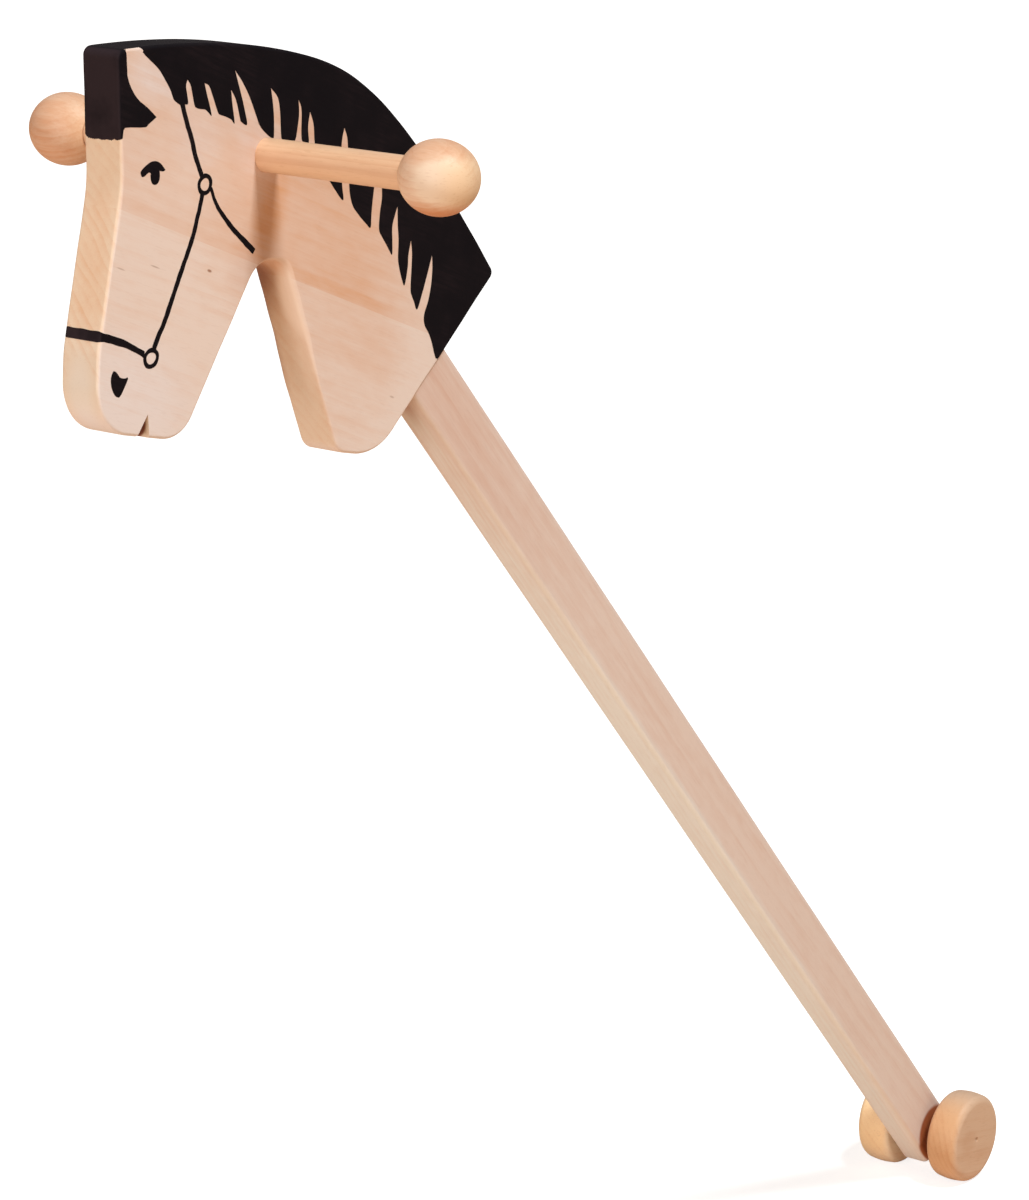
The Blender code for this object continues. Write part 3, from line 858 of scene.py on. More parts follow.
@dataclass
class Stick:
    """The straight bar: its cross-section runs from the neck's foot to the wheels."""

    incline: float = math.radians(48.5)
    width: float = 34
    thickness: float = 19
    edge_radius: float = 4
    end_radius: float = 2
    offset: float = 10
    foot: float = 941
    joint_gap: float = 0.3
    dowel_hole: float = 8.6
    dowel_hole_length: float = 48.6
    axle_hole: float = 6.6
    rows: int = 260

    def __post_init__(self) -> None:
        """Work out the bar's two directions."""
        self.along = Vector((math.cos(self.incline), 0, -math.sin(self.incline)))
        self.across = Vector((math.sin(self.incline), 0, math.cos(self.incline)))

    def section(self) -> tuple[Array, Array]:
        """Return the bar's rounded cross-section as across and sideways distances in mm from its middle."""
        quarter = np.linspace(0, QUARTER_TURN, 9)
        turn = np.concatenate([quarter + QUARTER_TURN * corner for corner in range(4)])
        corner_across = np.repeat([1, -1, -1, 1], 9) * (self.width / 2 - self.edge_radius)
        corner_side = np.repeat([1, 1, -1, -1], 9) * (self.thickness / 2 - self.edge_radius)
        across = corner_across + self.edge_radius * np.cos(turn)
        side = corner_side + self.edge_radius * np.sin(turn)
        return across, side

    def build(self, board: Board) -> Object:
        """Build the bar, mitred to the neck's foot and rounded at its own foot, with its holes.

        Args:
            board: the head, whose foot line the bar's top is cut parallel to.

        Returns:
            The stick's object.
        """
        across, side = self.section()
        heel = board.neck_heel.place
        foot_line = unit(board.mane_tip.place - heel)
        outward = np.array([foot_line[1], -foot_line[0]])
        along_flat, across_flat = (np.array([way.x, way.z]) for way in (self.along, self.across))
        cut_place = heel + outward * self.joint_gap
        reach = cut_place @ outward - (across + self.offset) * (across_flat @ outward)
        top = reach / (along_flat @ outward)

        share = np.concatenate([[0], np.linspace(0.0005, 1, self.rows)])[:, None]
        last = self.foot - self.end_radius
        turn = np.linspace(0, QUARTER_TURN, 8)[1:, None]
        rounding = np.broadcast_to(last + self.end_radius * np.sin(turn), (len(turn), len(across)))
        run = np.vstack([top + share * (last - top), rounding])
        inset = self.end_radius * (1 - np.cos(turn))
        across_scale, side_scale = (
            np.vstack([np.ones_like(share), 1 - inset / (size / 2)]) for size in (self.width, self.thickness)
        )
        sway = 0.05 * np.sin(run / 61) + 0.04 * np.sin(run / 23 + across / 9)
        across_all = (across + sway) * across_scale + self.offset
        side_all = side * side_scale * (1 + 0.003 * np.sin(run / 47))
        points = (
            run[..., None] * np.array(self.along)
            + across_all[..., None] * np.array(self.across)
            + side_all[..., None] * np.array(RIGHTWARD)
        )
        rows, columns = run.shape
        end = np.arange(columns)
        faces = [Mesh.grid_faces(rows, columns, wrap_columns=True), [end], [end + (rows - 1) * columns]]
        stick = Mesh.build("stick_bar", Board.world(points), faces)
        axle_hole = drill("axle_hole", self.axle_hole * MM, WHEEL_AXIS, RIGHTWARD, 2 * self.thickness * MM)
        Mesh.cut(stick, [*self.dowel_holes(), axle_hole])
        return stick

    def dowel_holes(self) -> list[Object]:
        """Make the solids that are drilled out of a piece for the joint's two hidden dowels."""
        diameter, length = self.dowel_hole * MM, self.dowel_hole_length * MM
        return [
            drill(dowel + "_hole", diameter, middle_of(dowel), self.along, length) for dowel in JOINT_DOWELS
        ]


@dataclass
class Head:
    """The sawn board with its holes and its mouth, whose places are measured like the outline's."""

    board: Board
    stick: Stick
    handle_hole: float = 16.1
    mouth_corner: Place = (-85.7, -106.6)
    mouth_front: Place = (-92.6, -114.9)
    mouth_back: Place = (-84.9, -116.9)
    mouth_nose: tuple = ((-0.5, -0.35), (0, 0), (0.12, -0.55))
    mouth_reach: float = 1.6

    def build(self) -> Object:
        """Build the board with its rounded edges, its mouth and its holes."""
        board = self.board
        half = (board.thickness / 2 - board.radius)[:, None]
        right = half + board.radius[:, None] * np.linspace(0, QUARTER_TURN, 9)
        middle = half * np.linspace(-1, 1, 9)[1:-1]
        across = np.concatenate([-right[:, ::-1], middle, right], axis=1)
        rows, columns = across.shape
        rim = np.arange(rows) * columns
        faces = [Mesh.grid_faces(rows, columns, wrap_rows=True), [rim], [rim + columns - 1]]
        head = Mesh.build("head_board_wood", board.surface(board.run[:, None], across), faces)
        thick = 2 * board.thickness * MM
        handle_hole = drill("handle_hole", self.handle_hole * MM, HANDLE_AXIS, RIGHTWARD, thick)
        Mesh.cut(head, [handle_hole, *self.stick.dowel_holes(), self.mouth_cutter()])
        return head

    def mouth_cutter(self) -> Object:
        """Return the tapered saw cut of the mouth: a round-nosed wedge that opens through the chin."""
        corner = np.array(self.mouth_corner)
        front, back = (
            corner + (np.array(lip) - corner) * self.mouth_reach
            for lip in (self.mouth_front, self.mouth_back)
        )
        wedge = np.vstack([front, Line.through(corner + np.array(self.mouth_nose), 6), back])
        left, right = (
            self.board.world(np.insert(wedge, 1, side.value * self.board.thickness, axis=1)) for side in Side
        )
        return Mesh.slab("mouth_cut", left, right)


@dataclass
class Painted:
    """Painted pieces of the head: thin closed films on the board."""

    board: Board
    lift: float = 0.06
    sink: float = 0.04

    def patch(self, name: str, outline: Array, side: Side, extra: float = 0) -> Object:
        """Lay a painted patch on one side of the board.

        Args:
            name: the new object's name.
            outline: its closed outline on the side, without the first point again at the end.
            side: which side it lies on.
            extra: height above the other paint, in mm.

        Returns:
            The patch's object.
        """
        top = self.board.on_side(outline, side, self.lift + extra)
        return Mesh.slab(name, top, self.board.on_side(outline, side, -self.sink))

    def flat_film(
        self, name: str, places: Array, side: Side, extra: float = 0, wrap: bool = False,
    ) -> Object:
        """Lay a grid of side places on the board as a closed film."""
        shape = (*places.shape[:2], 3)
        flat = places.reshape(-1, 2)
        top, bottom = (
            self.board.on_side(flat, side, height).reshape(shape)
            for height in (self.lift + extra, -self.sink)
        )
        return Mesh.film(name, top, bottom, wrap)

    def edge_film(self, name: str, run: Array, across: Array, extra: float = 0) -> Object:
        """Wrap a film over the board's edge, at distances along the outline and over the edge."""
        top = self.board.surface(run, across, self.lift + extra)
        return Mesh.film(name, top, self.board.surface(run, across, -self.sink))


@dataclass
class Mane(Painted):
    """The painted mane and forelock: ragged on both sides, and wrapped over the crest."""

    forelock: tuple = (
        ((-97.3, 25.3), (-93.2, 25.0), (-86.5, 24.1), (-82.5, 23.8), (-80.5, 24.9), (-75.4, 27.3)),
        ((-75.4, 27.3), (-79.6, 31.0), (-82.9, 33.5), (-86.1, 35.7), (-89.4, 39.0), (-92.5, 43.8),
         (-94.0, 48.0), (-94.1, 50.6), (-94.3, 55.1), (-94.3, 57.6)),
    )
    ear_back: tuple = (
        (-83.6, 57.3), (-82.1, 55.8), (-78.9, 53.2), (-75.6, 50.6), (-72.3, 47.5), (-69.1, 43.3),
        (-65.9, 38.7), (-64.3, 35.3), (-63.3, 33.4), (-60.7, 31.5), (-59.3, 30.7),
    )
    locks: tuple = (
        ((-59.3, 30.7), (-56.5, 30.5), (-53.9, 30.6), (-54.3, 34.5), (-55.0, 38.7), (-53.9, 41.5)),
        ((-53.9, 41.5), (-51.9, 38.7), (-51.0, 35.5), (-49.5, 29.4), (-48.1, 27.9), (-45.7, 27.1),
         (-42.3, 26.4), (-40.3, 25.0), (-37.9, 23.1), (-39.1, 28.1), (-40.7, 32.8), (-42.3, 38.4)),
        ((-42.3, 38.4), (-39.2, 36.7), (-36.6, 31.4), (-33.7, 24.6), (-32.3, 22.9), (-28.5, 21.5),
         (-24.4, 19.6), (-22.0, 17.6), (-23.2, 26.0), (-24.0, 33.2)),
        ((-24.0, 33.2), (-20.7, 28.0), (-18.1, 19.4), (-17.4, 17.7), (-13.2, 15.8), (-15.1, 24.1),
         (-17.7, 32.2), (-21.0, 41.7)),
        ((-21.0, 41.7), (-15.5, 35.1), (-10.8, 27.7), (-6.1, 17.9), (-4.7, 14.9), (-2.6, 12.3), (0.2, 9.9),
         (3.0, 7.9), (5.5, 6.8), (6.0, 15.3), (5.5, 22.4), (4.2, 30.4)),
        ((4.2, 30.4), (8.8, 25.6), (10.4, 19.4), (10.9, 8.2), (11.9, 5.5), (15.9, 4.6), (19.5, 4.0),
         (21.4, 4.5), (23.3, 11.2), (24.2, 16.2), (23.9, 22.6)),
        ((23.9, 22.6), (26.0, 17.4), (25.7, 4.4), (28.2, 2.1), (31.0, 1.5), (30.6, 8.9), (32.2, 15.9)),
        ((32.2, 15.9), (34.6, 9.7), (35.2, 1.7), (36.2, -3.6), (39.1, -9.2), (42.7, -14.4), (50.0, -23.5),
         (55.9, -29.2), (55.2, -21.0), (55.1, -5.3), (55.8, 0.3), (57.5, 5.1)),
        ((57.5, 5.1), (59.7, -1.2), (60.1, -13.1), (60.8, -25.1), (62.2, -31.0), (64.1, -34.4),
         (67.0, -37.5), (70.0, -40.4), (73.0, -43.0), (76.4, -45.4), (77.3, -38.1), (79.0, -28.7),
         (81.8, -16.1)),
        ((81.8, -16.1), (84.8, -23.7), (85.4, -32.0), (83.8, -39.0), (82.9, -47.1), (85.2, -51.3),
         (88.2, -55.2), (90.5, -58.5), (92.8, -61.0), (93.1, -54.0), (93.3, -46.8), (97.3, -38.1)),
        ((97.3, -38.1), (97.4, -47.4), (97.9, -54.7), (97.4, -63.0), (97.9, -67.0), (98.9, -70.5),
         (100.4, -74.7), (102.3, -77.5), (104.8, -69.5), (105.5, -63.2), (107.6, -56.2)),
        ((107.6, -56.2), (108.3, -64.2), (107.0, -79.7), (108.0, -83.8), (109.7, -87.0), (112.0, -91.1),
         (116.0, -84.1), (120.1, -75.4), (124.1, -66.2)),
        ((124.1, -66.2), (124.3, -72.6), (123.2, -80.8), (120.8, -88.4), (117.5, -94.8), (117.9, -99.8),
         (121.0, -104.3), (123.4, -109.2), (125.2, -114.6), (126.7, -118.0), (127.9, -117.8)),
    )
    foot_end: Place = (129.0, -119.1)
    front_border: tuple = (
        (-12.6, 24.9), (-12.1, 24.3), (-11.4, 20.6), (-8.5, 19.8), (-6.8, 20.3), (-5.6, 19.5), (-2.6, 19.6),
        (0.3, 19.1), (2.7, 19.5), (4.5, 19.1), (6.3, 19.2), (8.6, 19.4), (9.8, 20.4), (11.5, 21.5),
        (12.1, 24.3), (12.6, 24.9),
    )
    ear_front: float = -94.3
    ear_top_back: float = -85.3
    ear_top_turn: float = 0.45
    above_crest: float = 60
    brow_height: float = 34
    edge_depth: float = 0.1
    side_overlap: float = 0.9
    extra_lift: float = 0.01

    def build(self) -> list[Object]:
        """Build the mane's and the forelock's pieces on both sides and over the edge."""
        board = self.board
        foot = board.locate(self.foot_end)
        top = board.inset(foot, self.on_crest(self.ear_back[0][0]), self.edge_depth)
        mane = np.vstack([Line.chain((self.ear_back, *self.locks)), top[:-1]])
        front_end = board.locate((board.forehead.x, self.forelock[0][0][1]), foot)
        front = board.inset(self.on_crest(self.ear_front, foot), front_end, self.edge_depth)
        forelock = np.vstack([Line.chain(self.forelock)[:-1], front])
        made = []
        for side in Side:
            made.append(self.patch("mane_" + side.word, mane, side, self.extra_lift))
            made.append(self.patch("forelock_" + side.word, forelock, side, self.extra_lift))
        return [*made, self.wrap(foot)]

    def on_crest(self, x: float, past: float = 0) -> float:
        """Return how far along the outline the crest has a place, past a distance already gone."""
        return self.board.locate((x, self.above_crest), past)

    def wrap(self, foot: float) -> Object:
        """Build the paint over the edge, from the foot round the tip and the crest to the forelock's front.

        Args:
            foot: how far along the outline the paint starts.

        Returns:
            The wrapped film.
        """
        board = self.board
        brow = board.locate((board.forehead.x, self.brow_height), foot)
        ear = np.linspace(self.on_crest(self.ear_top_back + 4, foot), self.on_crest(-97, foot), 70)
        steady = np.unique(np.concatenate([np.arange(foot, brow, 1.0), ear]))
        crest = board.at(steady)[0]
        turn = np.interp(
            np.where(crest[:, 1] > 50, crest[:, 0], 100),
            [self.ear_front - 0.3, self.ear_front, self.ear_top_back, self.ear_top_back + 2.2],
            [QUARTER_TURN, self.ear_top_turn, self.ear_top_turn, QUARTER_TURN],
        )
        past = np.where(turn >= QUARTER_TURN - 0.01, self.side_overlap, 0.0)
        share = np.linspace(-1, 1, 61)
        share = np.sign(share) * np.abs(share) ** 0.8
        across = (board.arris(steady, turn) + past)[:, None] * share
        last = across[-1]

        level = np.interp(last, *np.array(self.front_border).T)
        level += 0.12 * np.sin(last * 5.1) + 0.08 * np.sin(last * 9.7 + 1)
        stretch = np.linspace(0, 1, 30)[1:, None]
        ending = steady[-1] + (np.interp(level, *self.front_run()) + board.length - steady[-1]) * stretch
        run = np.vstack([np.broadcast_to(steady[:, None], across.shape), ending])
        across = np.vstack([across, np.broadcast_to(last, ending.shape)])
        return self.edge_film("mane_over_crest", run, across)

    def front_run(self) -> tuple[Array, Array]:
        """Return the front strip's heights, rising, and how far along the outline each one is."""
        board = self.board
        run = np.linspace(*(board.locate((board.forehead.x, z)) for z in (50, 5)), 200)
        place = board.at(run)[0]
        return place[::-1, 1], run[::-1]


@dataclass
class Bridle(Painted):
    """The painted bridle: straps, rings and noseband."""

    cheek: tuple = (
        (-57.8, 31.2), (-57.0, 28.1), (-55.3, 23.4), (-51.8, 13.9), (-49.7, 6.8), (-45.3, -3.8),
    )
    jaw: tuple = (
        (-45.3, -11.5), (-47.6, -18.6), (-49.4, -23.0), (-51.1, -27.3), (-53.2, -31.6), (-55.4, -35.8),
        (-58.0, -40.0), (-60.3, -43.8), (-72.6, -65.2), (-77.6, -72.2), (-80.6, -76.9),
    )
    throat: tuple = (
        (-39.4, -9.8), (-36.9, -15.6), (-33.9, -20.2), (-29.8, -25.2), (-25.4, -29.8), (-20.5, -34.3),
        (-15.3, -38.8), (-9.7, -43.6),
    )
    cheek_widths: Place = (2.9, 2.7)
    jaw_widths: Place = (2.7, 3.0)
    throat_widths: Place = (1.9, 3.0)
    strap_spacing: float = 0.5
    left_waver: tuple = ((0.09, 2.9, 1), (0.05, 1.1, 0))
    right_waver: tuple = ((0.08, 2.3, 3), (0.05, 0.9, 2))
    cheek_ring: Place = (-43.4, -7.6)
    bit_ring: Place = (-82.7, -81.1)
    ring_outer: float = 5.05
    ring_inner: float = 2.95
    cheek_ring_shape: Place = (1.0, 1.0)
    bit_ring_shape: Place = (1.08, 0.92)
    ring_lift: float = 0.02
    band_lift: float = 0.01
    band_broader: float = 0.6
    band_upper: tuple = (
        (-113.7, -64.4), (-111.0, -65.1), (-108.4, -66.2), (-104.5, -67.9), (-100.5, -69.6), (-96.6, -71.6),
        (-92.6, -73.8), (-90.0, -75.4), (-86.9, -77.2),
    )
    band_lower: tuple = (
        (-113.9, -68.2), (-111.2, -69.2), (-108.6, -70.0), (-104.6, -71.7), (-100.7, -73.0), (-96.7, -74.9),
        (-92.7, -77.0), (-90.1, -78.4), (-87.2, -80.6),
    )

    def build(self) -> list[Object]:
        """Build the bridle on both sides of the head."""
        straps = {
            "cheek": (self.cheek, self.cheek_widths), "jaw": (self.jaw, self.jaw_widths),
            "throat": (self.throat, self.throat_widths),
        }
        rings = {
            "cheek": (self.cheek_ring, self.cheek_ring_shape), "bit": (self.bit_ring, self.bit_ring_shape),
        }
        made = []
        for side in Side:
            made += [self.strap(f"{part}_strap_{side.word}", *sizes, side) for part, sizes in straps.items()]
            made += [self.ring(f"{part}_ring_{side.word}", *sizes, side) for part, sizes in rings.items()]
        return [*made, self.noseband()]

    def strap(self, name: str, path: tuple, widths: Place, side: Side) -> Object:
        """Build a painted strap along a path.

        Args:
            name: the new object's name.
            path: places that its middle passes.
            widths: its width at the start and at the end, in mm.
            side: which side it lies on.

        Returns:
            The strap's object.
        """
        middle = Line.even(Line.through(path), self.strap_spacing)
        beside = Line.sideways(middle)
        first, last = widths
        half = (first + (last - first) * np.linspace(0, 1, len(middle))) / 2
        reach = np.arange(len(middle)) * self.strap_spacing
        left, right = half + waves(reach, *self.left_waver), half + waves(reach, *self.right_waver)
        edges = np.stack([middle - beside * left[:, None], middle, middle + beside * right[:, None]], axis=1)
        return self.flat_film(name, edges, side)

    def ring(self, name: str, centre: Place, shape: Place, side: Side) -> Object:
        """Build a painted ring, a little uneven as a brush leaves it and stretched by its shape."""
        turn = np.linspace(0, FULL_TURN, 96, endpoint=False)
        outward = np.stack([np.cos(turn), np.sin(turn)], axis=1)
        outer = self.ring_outer + 0.14 * np.sin(2 * turn + centre[0]) + 0.08 * np.sin(5 * turn)
        inner = self.ring_inner + 0.1 * np.sin(3 * turn + centre[1]) + 0.08 * np.sin(2 * turn + 1)
        places = np.stack([outward * inner[:, None], outward * outer[:, None]], axis=1)
        return self.flat_film(name, places * np.array(shape) + np.array(centre), side, self.ring_lift, True)

    def noseband(self) -> Object:
        """Build the noseband from ring to ring, round both edges of the front strip."""
        upper, lower = self.unrolled(self.band_upper), self.unrolled(self.band_lower)
        reach = self.board.arris(upper[:1, 0], QUARTER_TURN)[0]
        middle = np.linspace(reach, 0, 26)[1:]
        broader = np.interp(middle, [0.75 * reach, reach], [self.band_broader, 0])

        def whole(border: Array, spread: Array) -> Array:
            """Return a border all the way from the right ring to the left one."""
            half = np.vstack([border, np.stack([border[-1, 0] + spread, middle], axis=1)])
            return np.vstack([half, half[-2::-1] * np.array([1, -1])])

        upper, lower = whole(upper, -broader), whole(lower, broader)
        upper[:, 0] += 0.12 * np.sin(np.arange(len(upper)) / 3.1)
        share = np.linspace(0, 1, 7)[None, :, None]
        grid = upper[:, None, :] * (1 - share) + lower[:, None, :] * share
        return self.edge_film("noseband", grid[..., 0], grid[..., 1], self.band_lift)

    def unrolled(self, border: tuple) -> Array:
        """Return a side line's distances along the outline and over the edge, from the ring to the edge.

        Distance over the edge = the edge's own stretch + depth inside the outline - its radius.
        """
        line = Line.even(Line.through(border[::-1]), 1.0)
        board = self.board
        away = np.linalg.norm(line[:, None, :] - board.line[None, :, :], axis=2)
        nearest = np.argmin(away, axis=1)
        offset = line - board.line[nearest]
        outward = board.outward[nearest]
        ahead = np.stack([-outward[:, 1], outward[:, 0]], axis=1)
        run = board.run[nearest] + np.sum(offset * ahead, axis=1)
        depth = -np.sum(offset * outward, axis=1)
        over = board.arris(run, QUARTER_TURN) + np.clip(depth - board.at(run)[2], 0, None)
        return np.stack([run, over], axis=1)


@dataclass
class Face(Painted):
    """The painted eye and nostril."""

    eye: tuple = (
        ((-86.5, 2.4), (-86.8, 4.2), (-84.5, 5.9), (-80.4, 7.6), (-77.0, 7.8), (-73.7, 6.5), (-71.4, 4.3),
         (-70.1, 2.8)),
        ((-70.1, 2.8), (-71.8, 2.4), (-74.1, 3.0)),
        ((-74.1, 3.0), (-74.0, 0.6), (-74.6, -1.5), (-76.0, -2.7), (-77.4, -2.9), (-79.0, -2.3),
         (-80.0, -0.8), (-80.3, 1.5), (-80.0, 2.6)),
        ((-80.0, 2.6), (-81.2, 3.2), (-82.6, 2.7), (-84.3, 1.9), (-85.8, 1.8), (-86.5, 2.4)),
    )
    nostril: tuple = (
        ((-98.5, -87.8), (-99.9, -89.8), (-102.0, -92.6), (-104.1, -94.8), (-105.5, -95.0), (-107.4, -93.9),
         (-109.0, -91.4), (-109.9, -88.5), (-109.8, -85.3), (-108.4, -82.8), (-107.0, -82.8),
         (-105.4, -84.2), (-103.8, -86.1), (-101.2, -87.1), (-98.7, -87.0)),
        ((-98.7, -87.0), (-98.5, -87.8)),
    )

    def build(self) -> list[Object]:
        """Build the eye and the nostril on both sides."""
        outlines = {"eye": Line.chain(self.eye)[:-1], "nostril": Line.chain(self.nostril)[:-1]}
        return [
            self.patch(f"{name}_{side.word}", outline, side)
            for side in Side
            for name, outline in outlines.items()
        ]


@dataclass
class Turning:
    """The turned pieces: handle, knobs, axle and wheels."""

    handle_diameter: float = 16
    knob_diameter: float = 35
    knob_length: float = 39
    knob_spacing: float = 223
    knob_bore: float = 16.6
    bore_past_centre: float = 7
    wheel_diameter: float = 55
    wheel_width: float = 21
    wheel_edge: float = 4.8
    wheel_crown: float = 0.5
    wheel_spacing: float = 49
    wheel_bore_depth: float = 15
    axle_diameter: float = 6
    axle_bore: float = 6.6
    glue_gap: float = 0.3
    handle_chamfer: float = 1.0
    axle_chamfer: float = 0.6
    knob_lip: float = 0.5
    lathe_mark: tuple = ((0, 1.0), (0.5, 0.95), (1.35, 0.2), (1.6, 0.02), (1.9, 0))

    def handle(self) -> Object:
        """Build the handle's dowel."""
        length = self.knob_spacing + 2 * (self.bore_past_centre - self.glue_gap)
        return self.rod("handle_rod", self.handle_diameter, length, self.handle_chamfer, HANDLE_AXIS)

    def axle(self) -> Object:
        """Build the wheels' axle."""
        length = self.wheel_spacing - self.wheel_width + 2 * (self.wheel_bore_depth - self.glue_gap)
        return self.rod("axle_rod", self.axle_diameter, length, self.axle_chamfer, WHEEL_AXIS)

    @staticmethod
    def rod(name: str, diameter: float, length: float, chamfer: float, centre: Vector) -> Object:
        """Build a plain rod along Y with chamfered ends."""
        radius, half = diameter / 2, length / 2
        body = np.linspace(half - chamfer, chamfer - half, 40)
        profile = np.vstack([
            [(0, half), (radius - chamfer, half)],
            np.stack([np.full(40, radius), body], axis=1),
            [(radius - chamfer, -half), (0, -half)],
        ])
        return Mesh.lathe(name, profile * MM, centre, RIGHTWARD, 96)

    @staticmethod
    def turn_one(name: str, side: Side, profile: list, axis: Vector, spacing: float, facets: int) -> Object:
        """Turn one of a pair of pieces on an axis.

        Args:
            name: the start of its name, before the side.
            side: which of the two it is.
            profile: pieces of its profile in mm, from its outer end.
            axis: middle of the axis that the pair sits on.
            spacing: distance between the two middles, in mm.
            facets: flats round the axis.

        Returns:
            The turned object.
        """
        outward = RIGHTWARD * side.value
        centre = axis + outward * (spacing / 2 * MM)
        return Mesh.lathe(name + side.word, np.vstack(profile) * MM, centre, outward, facets)

    def knob(self, side: Side) -> Object:
        """Build a knob: radius = half diameter x cos(turn), height = half length x sin(turn)."""
        radius, half, bore = self.knob_diameter / 2, self.knob_length / 2, self.knob_bore / 2
        lip = bore + self.knob_lip
        turn = np.linspace(QUARTER_TURN, -math.acos(lip / radius), 72)
        ball = np.stack([radius * np.cos(turn), half * np.sin(turn)], axis=1)
        ball[0, 0] = 0
        rim = ball[-1, 1]
        end = self.bore_past_centre
        hole = [(bore + 0.12, rim - 0.02), (bore, rim + 0.4), (bore, end), (0, end)]
        return self.turn_one("knob_ball_", side, [ball, hole], HANDLE_AXIS, self.knob_spacing, 128)

    def wheel(self, side: Side) -> Object:
        """Build a wheel: tread radius = half diameter - crown x (height / half width) squared."""
        radius, half = self.wheel_diameter / 2, self.wheel_width / 2
        corner = half - self.wheel_edge
        shoulder = radius - self.wheel_crown - self.wheel_edge
        bore = self.axle_bore / 2
        mark = [(reach, half - depth) for reach, depth in self.lathe_mark]
        face = np.stack([np.linspace(2.4, shoulder - 0.3, 12), np.full(12, half)], axis=1)
        turn = np.linspace(QUARTER_TURN, 0, 12)
        outer = (shoulder, corner) + self.wheel_edge * np.stack([np.cos(turn), np.sin(turn)], axis=1)
        height = np.linspace(corner, -corner, 14)[1:-1]
        tread = np.stack([radius - self.wheel_crown * (height / corner) ** 2, height], axis=1)
        inner = outer[::-1] * np.array([1, -1])
        back = np.stack([np.linspace(shoulder - 0.3, bore + 1, 8), np.full(8, -half)], axis=1)
        bore_end = self.wheel_bore_depth - half
        hole = [(bore + 0.25, -half), (bore, 0.25 - half), (bore, bore_end), (0, bore_end)]
        profile = [mark, face, outer, tread, inner, back, hole]
        return self.turn_one("wheel_disc_", side, profile, WHEEL_AXIS, self.wheel_spacing, 160)


@dataclass
class Studio:
    """The camera, the light and the floor."""

    image_width: int = 1029
    image_height: int = 1200
    camera_from_handle: Triple = (-1.528230, -1.291678, 0.341029)
    looking: Triple = (0.77267839, 0.57550819, -0.26787765)
    lens: float = 152.88
    sensor: float = 36
    surround_colour: Colour = (0.155, 0.092, 0.05)
    mirror_level: float = 0.45
    key_towards: Triple = (0.03, -0.5, 0.87)
    key_size: float = 1.4
    key_power: float = 408
    key_colour: Colour = (0.858, 0.953, 1)
    fill_towards: Triple = (-0.98, -0.12, 0.16)
    fill_size: float = 3
    fill_power: float = 210
    fill_colour: Colour = (1, 1, 1)
    lamp_distance: float = 6
    floor_reach: float = 40
    floor_bounce: Colour = (0.8, 0.58, 0.41)
    floor_grey: Colour = (0.62, 0.62, 0.62)
    glow: Place = (0.78, 1)
    glow_between: Place = (1.2, 5)

    def camera(self) -> None:
        """Place the camera as in the photograph."""
        data = bpy.data.cameras.new("camera")
        data.sensor_fit = 'HORIZONTAL'
        data.sensor_width = self.sensor
        data.lens = self.lens
        data.clip_end = 200
        obj = show("camera", data)
        obj.location = HANDLE_AXIS + Vector(self.camera_from_handle)
        obj.rotation_euler = Vector(self.looking).to_track_quat('-Z', 'Y').to_euler()
        bpy.context.scene.camera = obj

    def world(self) -> None:
        """Surround the toy with dim warm light that the camera sees as white."""
        world = bpy.data.worlds.new("surround")
        bpy.context.scene.world = world
        world.use_nodes = True
        graph = Graph(world.node_tree)
        background = world.node_tree.nodes["Background"]
        path = graph.node("ShaderNodeLightPath")
        mirrored = graph.times(path.outputs["Is Glossy Ray"], self.mirror_level)
        seen = graph.maths("MAXIMUM", path.outputs["Is Camera Ray"], mirrored)
        seen = graph.maths("MAXIMUM", seen, path.outputs["Is Transmission Ray"])
        colour = graph.blend(seen, (*self.surround_colour, 1), (1, 1, 1, 1))
        graph.feed(background.inputs["Color"], colour)

    def lamp(self, name: str, towards: Triple, size: float, power: float, colour: Colour) -> None:
        """Hang a square lamp that shines on the head.

        Args:
            name: the lamp's name.
            towards: direction from the head to the lamp.
            size: side of the square, in metres.
            power: its power in watts.
            colour: its light's colour.
        """
        data = bpy.data.lights.new(name, 'AREA')
        data.shape = 'SQUARE'
        data.size = size
        data.energy = power
        data.color = colour
        obj = show(name, data)
        direction = Vector(towards).normalized()
        obj.location = HANDLE_AXIS + direction * self.lamp_distance
        obj.rotation_euler = direction.to_track_quat('Z', 'Y').to_euler()

    def floor(self) -> None:
        """Lay a large floor that keeps the toy's soft shadow and stays white far from the lamps."""
        reach = self.floor_reach
        corners = [(-reach, -reach, 0), (reach, -reach, 0), (reach, reach, 0), (-reach, reach, 0)]
        mesh = bpy.data.meshes.new("floor")
        mesh.from_pydata(corners, [], [(0, 1, 2, 3)])
        obj = show("floor", mesh)
        material, graph, shader = start_material("floor_white")
        seen = graph.node("ShaderNodeLightPath").outputs["Is Camera Ray"]
        away = graph.vector("LENGTH", graph.node("ShaderNodeTexCoord").outputs["Object"]).outputs["Value"]
        graph.fill(
            shader, Roughness=1, Specular_IOR_Level=0, Emission_Color=(1, 1, 1, 1),
            Base_Color=graph.blend(seen, (*self.floor_bounce, 1), (*self.floor_grey, 1)),
            Emission_Strength=graph.times(seen, graph.remap(away, *self.glow_between, *self.glow)),
        )
        mesh.materials.append(material)

    def build(self) -> None:
        """Set up the whole studio."""
        scene = bpy.context.scene
        scene.render.resolution_x = self.image_width
        scene.render.resolution_y = self.image_height
        scene.view_settings.view_transform = 'Standard'
        self.camera()
        self.world()
        self.lamp("key", self.key_towards, self.key_size, self.key_power, self.key_colour)
        self.lamp("fill", self.fill_towards, self.fill_size, self.fill_power, self.fill_colour)
        self.floor()


WHEEL_PLACE = tuple(WHEEL_AXIS)

